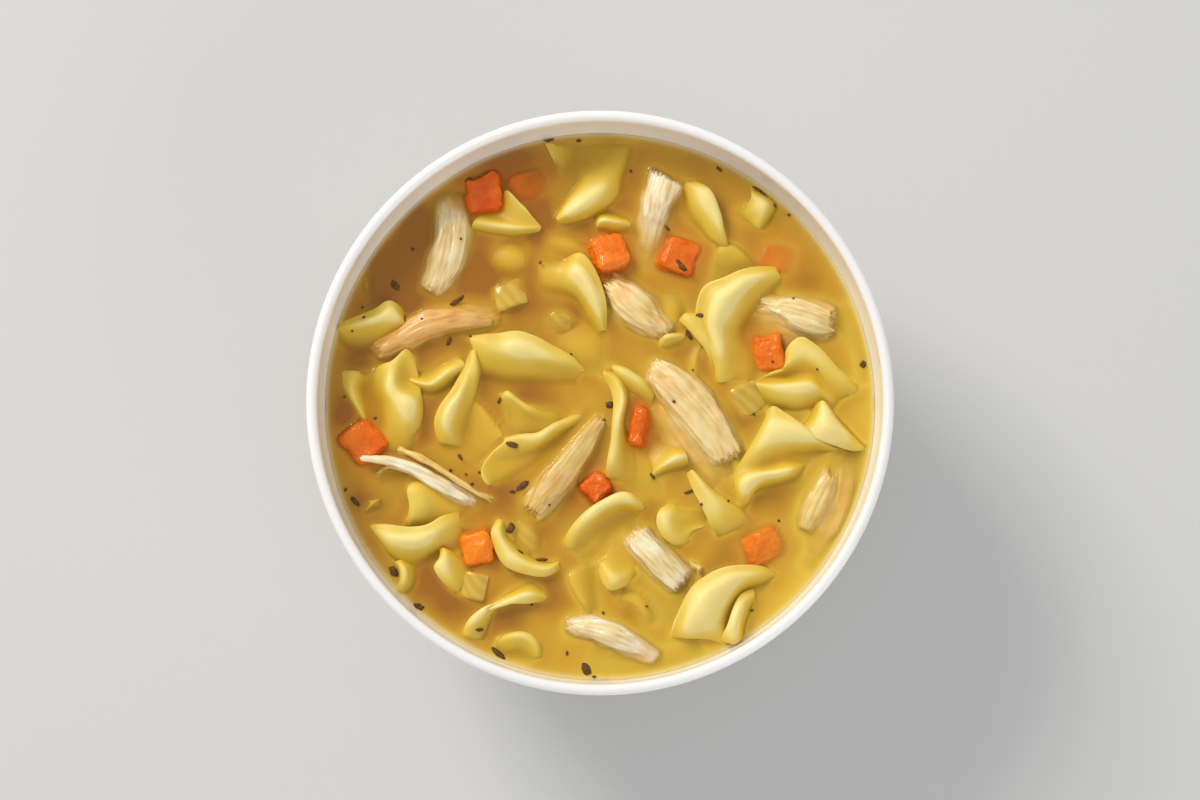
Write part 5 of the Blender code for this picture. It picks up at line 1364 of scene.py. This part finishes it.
# Veins and torn skin change the tone over some 0.6 mm.
veins = add_node(tree, "ShaderNodeTexNoise", inputs={"Vector": place, "Scale": 1500.0, "Detail": 2.0})
leaf_tone = add_node(tree, "ShaderNodeValToRGB", inputs={"Fac": veins.outputs["Fac"]})
leaf_tone.color_ramp.elements[0].position = 0.3
leaf_tone.color_ramp.elements[0].color = tint("#46290c")
leaf_tone.color_ramp.elements[1].position = 0.75
leaf_tone.color_ramp.elements[1].color = tint("#7c561e")
tree.links.new(leaf_tone.outputs["Color"], shader.inputs["Base Color"])
relief = add_node(
    tree, "ShaderNodeBump", inputs={"Height": veins.outputs["Fac"], "Strength": 0.5, "Distance": 0.2 * MM}
)
tree.links.new(relief.outputs["Normal"], shader.inputs["Normal"])

graph = bpy.context.evaluated_depsgraph_get()
pieces_so_far = [BVHTree.FromObject(piece, graph) for piece in floating]


def top_at(x, y):
    """The height of the highest thing at a place: a piece, or the broth's level."""
    tops = [LEVEL]
    for known in pieces_so_far:
        hit = known.ray_cast(Vector((x, y, BOWL_HEIGHT)), Vector((0, 0, -1)))[0]
        if hit is not None:
            tops.append(hit.z)
    return max(tops)


leaves = bmesh.new()
for number, (x, y, length, width, turn) in enumerate(HERB_LEAVES):
    made = bmesh.ops.create_icosphere(leaves, subdivisions=2, radius=0.5)["verts"]
    for vert in made:
        bent = HERB_BEND * (vert.co.x**2 - 0.1) * width
        rough = 1 + HERB_ROUGHNESS * noise.noise(vert.co * 3 + Vector((number, 0, 0)))
        vert.co.x *= length * rough * MM
        vert.co.y = (vert.co.y * width * rough + bent) * MM
        vert.co.z *= HERB_THICKNESS
    x, y = BOWL_MIDDLE.x + x * MM, BOWL_MIDDLE.y + y * MM
    place = Matrix.Translation((x, y, top_at(x, y) + HERB_FLOAT - 0.3 * HERB_THICKNESS))
    bmesh.ops.transform(leaves, matrix=place @ Matrix.Rotation(math.radians(turn), 4, "Z"), verts=made)
stem = [[(x + step, y + step, 0.45 - abs(step)) for x, y in HERB_STEM] for step in (-0.3, 0, 0.3)]
leaves = joined([leaves, smoothed(new_sheet(stem, STEM_THICKNESS, STEM_RIM), 1)])
keep_in_bowl(leaves)
new_piece("dried_herbs", leaves, herb_leaf)


# The broth. Golden chicken stock, cloudy with starch and fat, which fills the bowl to its level, climbs a
# little up all that stands in it, and hides what lies more than a few millimetres down.
SKIN_CELLS = 118
SKIN_ROUNDS = 2
FIELD_CELLS = 560
SKIN_GAP = 0.02 * MM
CLIMB = 0.5 * MM
CLIMB_REACH = 0.45 * MM
FINE_REACH = 1.3 * MM
FINEST_REACH = 0.6 * MM
SIGHT = 2 * MM
LAYER_DEPTH = 9 * MM
GLOW_DEPTH = 5 * MM
WEDGE_REACH = 0.8 * MM
WALL_CALM = 0.8
WEDGE_PALENESS = 0.6
GLOW_LEAST, GLOW_OVER_FOOD, GLOW_BLUR = 0.45, 0.55, 1.1 * MM
GLOW_AT_WALL = 0.45
LEE_SHADOW_DARKNESS, LEE_BLUR, LEE_EDGE = 0.42, 1.8 * MM, 0.5 * MM
GAP_DEPTH_AND_SHADE, GAP_EDGE = 0.42, 0.8 * MM
STANDING_DEPTH = 0.8 * MM
CRISP_BLUR, SOFT_BLUR, DEPTH_BLUR, SOFT_DEPTH = 0.35 * MM, 1.2 * MM, 0.9 * MM, 1.5 * MM
COVER_BLUR = 0.4 * MM
LEE = (1.6 * MM, -1.3 * MM)
BLUSH_REACH = 1.8 * MM
# Where nothing lies beneath, and the broth is seen down to its brown depth, with painted shade between the
# pieces
# around it: mm to the right, to the back, and the gap's size in mm.
SHADED_DEEP_GAPS = [
    (-66, -3, 3), (-62, 14, 4), (-53, 33, 9), (-46, 48, 8), (-24, 64, 6), (-30, 34, 6), (-16, 48, 5),
    (-18, 5, 6), (-28, 9, 4), (-25, -25, 6), (-17, -33, 5), (-5, -20, 4), (36, -3, 4), (24, 12, 4),
    (38, 21, 4), (53, 32, 5), (32, -39, 5), (35, -27, 4), (46, -24, 5), (-43, -45, 6), (-38, -52, 5),
    (-22, -57, 4), (-60, -25, 4), (-12, -50, 6), (14, -8, 4), (10, 3, 3), (8, -52, 4), (-46, 22, 4),
    (28, 50, 4), (-5, 24, 4),
]

skin_radius = wall_radius(LEVEL, INNER_RADIUS, INNER_DEPTH) - SKIN_GAP
corners, faces, wet_faces = [], [], []
carrot_shape = (corners, [])
for piece in floating:
    first = len(corners)
    corners += [vert.co.copy() for vert in piece.data.vertices]
    for polygon in piece.data.polygons:
        face = [first + index for index in polygon.vertices]
        faces.append(face)
        if "carrot" in piece.name:
            carrot_shape[1].append(face)
        if max(corners[index].z for index in face) > LEVEL + 0.1 * MM:
            wet_faces.append(face)
everything = BVHTree.FromPolygons(corners, faces)
standing = BVHTree.FromPolygons(corners, wet_faces)
orange = BVHTree.FromPolygons(*carrot_shape)

# The fields are read on a square over the broth: how deep the first piece lies, and how near one stands.
ticks = np.linspace(-skin_radius, skin_radius, FIELD_CELLS)
depths = np.full((FIELD_CELLS, FIELD_CELLS), LAYER_DEPTH)
seen = np.zeros((FIELD_CELLS, FIELD_CELLS))
gaps = np.full((FIELD_CELLS, FIELD_CELLS), 2 * FINE_REACH)
blush = np.zeros((FIELD_CELLS, FIELD_CELLS))
seen_down = BOWL_HEIGHT - LEVEL + LAYER_DEPTH
for row, y in enumerate(ticks):
    for column, x in enumerate(ticks):
        if math.hypot(x, y) > skin_radius + MM:
            continue
        hit = everything.ray_cast(Vector((x, y, BOWL_HEIGHT)), Vector((0, 0, -1)), seen_down)[0]
        if hit is not None:
            depths[row, column] = max(0.0, LEVEL - hit.z)
            seen[row, column] = 1
        near = standing.find_nearest(Vector((x, y, LEVEL)), 2 * FINE_REACH)[3]
        if near is not None:
            gaps[row, column] = near
        near = orange.find_nearest(Vector((x, y, LEVEL)), 4 * BLUSH_REACH)[3]
        if near is not None:
            blush[row, column] = math.exp(-near / BLUSH_REACH)
wall_gaps = np.maximum(0, skin_radius - np.hypot(*np.meshgrid(ticks, ticks)))
inside = (wall_gaps > 0).astype(float)
gaps = np.minimum(gaps, wall_gaps + 2 * FINE_REACH * (1 - inside))
cell = 2 * skin_radius / FIELD_CELLS


def blurred(field, size):
    """The field blurred over a length, without what lies outside the broth."""
    size = size / cell
    reach = max(1, round(3 * size))
    weights = np.exp(-0.5 * (np.arange(-reach, reach + 1) / size) ** 2)
    sums = []
    for wide in (field * inside, inside):
        wide = np.pad(wide, reach)
        wide = sum(weight * wide[:, i : i + FIELD_CELLS] for i, weight in enumerate(weights))
        sums.append(sum(weight * wide[i : i + FIELD_CELLS] for i, weight in enumerate(weights)))
    return sums[0] / np.maximum(sums[1], 1e-9)


def read(field, places):
    """The field's values at places on the broth, each between its four nearest cells."""
    at = np.clip((places / skin_radius + 1) / 2 * (FIELD_CELLS - 1), 0, FIELD_CELLS - 1.001)
    column, row = np.floor(at).astype(int).T
    right, up = (at - np.floor(at)).T
    low = field[row, column] * (1 - right) + field[row, column + 1] * right
    high = field[row + 1, column] * (1 - right) + field[row + 1, column + 1] * right
    return low * (1 - up) + high * up


soft_depth = blurred(depths * seen, DEPTH_BLUR) / np.maximum(blurred(seen, DEPTH_BLUR), 0.05)
crisp = np.clip(2 * blurred(seen, CRISP_BLUR) - 1, 0, 1)
soft = np.clip(2 * blurred(seen, SOFT_BLUR) - 1, 0, 1)
share = np.clip(soft_depth / SOFT_DEPTH, 0, 1)
clearness = np.exp(-blurred(depths, CRISP_BLUR) / SIGHT) * (crisp * (1 - share) + soft * share)
# The broth's tone: yellower over food close under it; below, painted shade and painted light are added to it.
broth_tone_and_shade = GLOW_LEAST + GLOW_OVER_FOOD * blurred(np.exp(-depths / GLOW_DEPTH) * seen, GLOW_BLUR)
# Painted shadow: the broth is painted browner in the lee of a piece that stands between it and the main
# light.
raised = seen * (depths < STANDING_DEPTH)
shift = [round(way / cell) for way in LEE]
lee = np.roll(blurred(raised, LEE_BLUR), (shift[1], shift[0]), axis=(0, 1)) * (1 - blurred(raised, LEE_EDGE))
broth_tone_and_shade -= LEE_SHADOW_DARKNESS * lee
wedge = WEDGE_PALENESS * np.exp(-((wall_gaps / WEDGE_REACH) ** 2))
across, back = np.meshgrid(ticks, ticks)
# Each listed gap is darkened, both for the deep broth's brown and as painted shade between the pieces.
for x, y, size in SHADED_DEEP_GAPS:
    away = np.hypot(across - BOWL_MIDDLE.x - x * MM, back - BOWL_MIDDLE.y - y * MM) / (size * MM)
    broth_tone_and_shade -= GAP_DEPTH_AND_SHADE * np.exp(-(away**2)) * (1 - blurred(raised, GAP_EDGE))
# The broth is painted lighter near the wall, partly as shallow broth over white porcelain and partly as
# painted light bounced from the wall.
broth_tone_and_shade += GLOW_AT_WALL * np.exp(-wall_gaps / (2 * WEDGE_REACH))


def on_disc(vert):
    """Where a vertex of the unit square comes to lie on the broth's disc."""
    u, v = vert.co.x, vert.co.y
    return u * math.sqrt(1 - v**2 / 2) * skin_radius, v * math.sqrt(1 - u**2 / 2) * skin_radius


bm = bmesh.new()
bmesh.ops.create_grid(bm, x_segments=SKIN_CELLS, y_segments=SKIN_CELLS, size=1)
# The skin is finer where it climbs, but not where a piece covers it.
covered = 2 * FINE_REACH * (blurred(seen * (depths <= 0), COVER_BLUR) > 0.97)
for reach in (FINE_REACH, FINEST_REACH)[:SKIN_ROUNDS]:
    near_by = read(gaps + covered, np.array([on_disc(vert) for vert in bm.verts])) < reach
    bm.verts.index_update()
    near_faces = [face for face in bm.faces if any(near_by[vert.index] for vert in face.verts)]
    fine = {edge for face in near_faces for edge in face.edges}
    bmesh.ops.subdivide_edges(bm, edges=list(fine), cuts=1, use_grid_fill=True)
places = np.array([on_disc(vert) for vert in bm.verts])
climbs = CLIMB * np.exp(-read(gaps, places) / CLIMB_REACH)
climbs *= 1 - np.clip(2.5 * read(lee, places), 0, 0.8)
climbs *= 1 - WALL_CALM * np.exp(-read(wall_gaps, places) / WEDGE_REACH)
for vert, (x, y), climb in zip(bm.verts, places, climbs):
    flared = wall_radius(LEVEL + climb, INNER_RADIUS, INNER_DEPTH) - SKIN_GAP - skin_radius
    wider = 1 + flared / skin_radius * math.exp((math.hypot(x, y) - skin_radius) / CLIMB_REACH)
    vert.co = Vector((x * wider, y * wider, LEVEL + climb))

boundary = [edge for edge in bm.edges if edge.is_boundary]
bottom_radius = wall_radius(LEVEL - LAYER_DEPTH, INNER_RADIUS, INNER_DEPTH) - SKIN_GAP
skirt = bmesh.ops.extrude_edge_only(bm, edges=boundary)["geom"]
for vert in [part for part in skirt if isinstance(part, bmesh.types.BMVert)]:
    share_in = bottom_radius / skin_radius
    vert.co = Vector((vert.co.x * share_in, vert.co.y * share_in, LEVEL - LAYER_DEPTH))
bmesh.ops.holes_fill(bm, edges=[edge for edge in bm.edges if edge.is_boundary], sides=0)
bmesh.ops.recalc_face_normals(bm, faces=bm.faces[:])

# Chicken stock: golden and cloudy, yellow where noodles lie close under it and brown where it is deep, with a
# flat wet shine. Its tone also carries painted shade beside and between the pieces and painted light at the
# wall.
# It is clear only where something lies close under its surface.
stock, tree, shader = new_finish("golden_chicken_stock", Roughness=0.06, IOR=1.34)
place = add_node(tree, "ShaderNodeTexCoord").outputs["Object"]
shaded_tone = add_node(tree, "ShaderNodeAttribute", {"attribute_name": "broth_tone_and_shade"}).outputs["Fac"]
# Starch settles in clouds of about 15 mm. The broth is also painted darker towards the back left, as painted
# shade from the wall, and lighter towards the front right.
clouds = add_node(
    tree, "ShaderNodeTexNoise", inputs={"Vector": place, "Scale": 70.0, "Detail": 2.0, "Roughness": 0.4}
)
drift = clouds.outputs["Fac"]
lift = add_node(
    tree,
    "ShaderNodeMapRange",
    inputs={"Value": drift, "From Min": 0.35, "From Max": 0.7, "To Min": -0.1, "To Max": 0.12},
)
painted_side_shading = add_node(
    tree, "ShaderNodeVectorMath", {"operation": "DOT_PRODUCT"}, {0: place, 1: (4.0, -3.0, 0.0)}
)
cloudy = add_node(
    tree, "ShaderNodeMath", {"operation": "ADD"}, {0: lift.outputs["Result"], 1: painted_side_shading.outputs["Value"]}
)
body = add_node(
    tree,
    "ShaderNodeMath",
    {"operation": "MULTIPLY_ADD", "use_clamp": True},
    {0: shaded_tone, 1: 1.0, 2: cloudy.outputs["Value"]},
)
tone = add_node(tree, "ShaderNodeValToRGB", inputs={"Fac": body.outputs["Value"]})
tone.color_ramp.elements[0].color = tint("#a06820")
tone.color_ramp.elements[1].color = tint("#e2bf42")
tone.color_ramp.elements.new(0.5).color = tint("#c8962a")
# Carrot gives the broth beside it an orange blush.
beside_carrot = add_node(tree, "ShaderNodeAttribute", {"attribute_name": "blush"}).outputs["Fac"]
amount = add_node(tree, "ShaderNodeMath", {"operation": "MULTIPLY"}, {0: beside_carrot, 1: 0.6})
blushing = add_node(
    tree,
    "ShaderNodeMix",
    {"data_type": "RGBA"},
    {0: amount.outputs["Value"], 6: tone.outputs["Color"], 7: tint("#c8601c")},
)
# The thin wedge of broth that climbs the wall lets the white porcelain show through.
at_wall = add_node(tree, "ShaderNodeAttribute", {"attribute_name": "wedge"}).outputs["Fac"]
paler = add_node(
    tree, "ShaderNodeMix", {"data_type": "RGBA"}, {0: at_wall, 6: blushing.outputs[2], 7: tint("#f2e6bc")}
)
tree.links.new(paler.outputs[2], shader.inputs["Base Color"])
clear = add_node(tree, "ShaderNodeAttribute", {"attribute_name": "clearness"}).outputs["Fac"]
veil = add_node(tree, "ShaderNodeMapRange", inputs={"Value": clear, "To Min": 1.0, "To Max": 0.03})
tree.links.new(veil.outputs["Result"], shader.inputs["Alpha"])

surface = new_piece("broth_surface", bm, stock)
for name, field in (("clearness", clearness), ("broth_tone_and_shade", broth_tone_and_shade), ("blush", blush), ("wedge", wedge)):
    values = np.zeros(len(surface.data.vertices))
    values[: len(places)] = read(field, places)
    mark(surface, name, values)
surface.visible_shadow = False
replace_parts(surface, "broth")

deep_top = LEVEL - LAYER_DEPTH - 0.05 * MM
deep_wall = wall_profile(
    INNER_RADIUS - SKIN_GAP, INNER_DEPTH - SKIN_GAP, BOWL_FLOOR + SKIN_GAP, deep_top, 16
)
new_piece("broth_below", spin_profile([(0, deep_top)] + deep_wall, 96), stock)


# The table, the lights and the camera. A matt painted top 8 m across, a soft box at the upper left, a white
# card at the lower right, and a long lens almost straight over the bowl.
TABLE_REACH = 4
CAMERA_LENS, CAMERA_SENSOR = 106, 36
CAMERA_TILT, CAMERA_DISTANCE = 84.2, 0.9
WORLD_STRENGTH = 0.62

floor_mesh = bpy.data.meshes.new("table")
bm = bmesh.new()
bmesh.ops.create_grid(bm, x_segments=1, y_segments=1, size=TABLE_REACH)
bm.to_mesh(floor_mesh)
bm.free()
table = bpy.data.objects.new("table", floor_mesh)
bpy.context.scene.collection.objects.link(table)
paint, tree, shader = new_finish("pale_matt_paint", Roughness=0.8)
shader.inputs["Base Color"].default_value = tint("#d2d2d0")
table.data.materials.append(paint)

SUBJECT = Vector((0, 0, BOWL_HEIGHT))


def soft_box(name, azimuth, elevation, distance, size, power, colour):
    """A square soft box that looks at the bowl's rim."""
    lamp = bpy.data.lights.new(name, "AREA")
    lamp.shape = "SQUARE"
    lamp.size = size
    lamp.energy = power
    lamp.color = tint(colour)[:3]
    stand = bpy.data.objects.new(name, lamp)
    around, up = math.radians(azimuth), math.radians(elevation)
    direction = Vector((math.cos(around) * math.cos(up), math.sin(around) * math.cos(up), math.sin(up)))
    stand.location = SUBJECT + direction * distance
    stand.rotation_euler = (-direction).to_track_quat("-Z", "Y").to_euler()
    bpy.context.scene.collection.objects.link(stand)


soft_box("key", 132, 33, 2.2, 0.9, 36.0, "#fffaf2")
soft_box("bounce_card", -48, 22, 1.6, 1.2, 6.5, "#fffaf4")

world = bpy.data.worlds.new("studio")
world.use_nodes = True
background = world.node_tree.nodes["Background"]
background.inputs["Color"].default_value = tint("#f4f6fa")
background.inputs["Strength"].default_value = WORLD_STRENGTH
bpy.context.scene.world = world
bpy.context.scene.view_settings.view_transform = "Standard"

camera_data = bpy.data.cameras.new("camera")
camera_data.lens = CAMERA_LENS
camera_data.sensor_width = CAMERA_SENSOR
camera = bpy.data.objects.new("camera", camera_data)
tilt = math.radians(CAMERA_TILT)
sight = Vector((0, -math.cos(tilt), math.sin(tilt)))
camera.location = SUBJECT + sight * CAMERA_DISTANCE
camera.rotation_euler = (-sight).to_track_quat("-Z", "Y").to_euler()
bpy.context.scene.collection.objects.link(camera)
bpy.context.scene.camera = camera

bpy.context.view_layer.update()
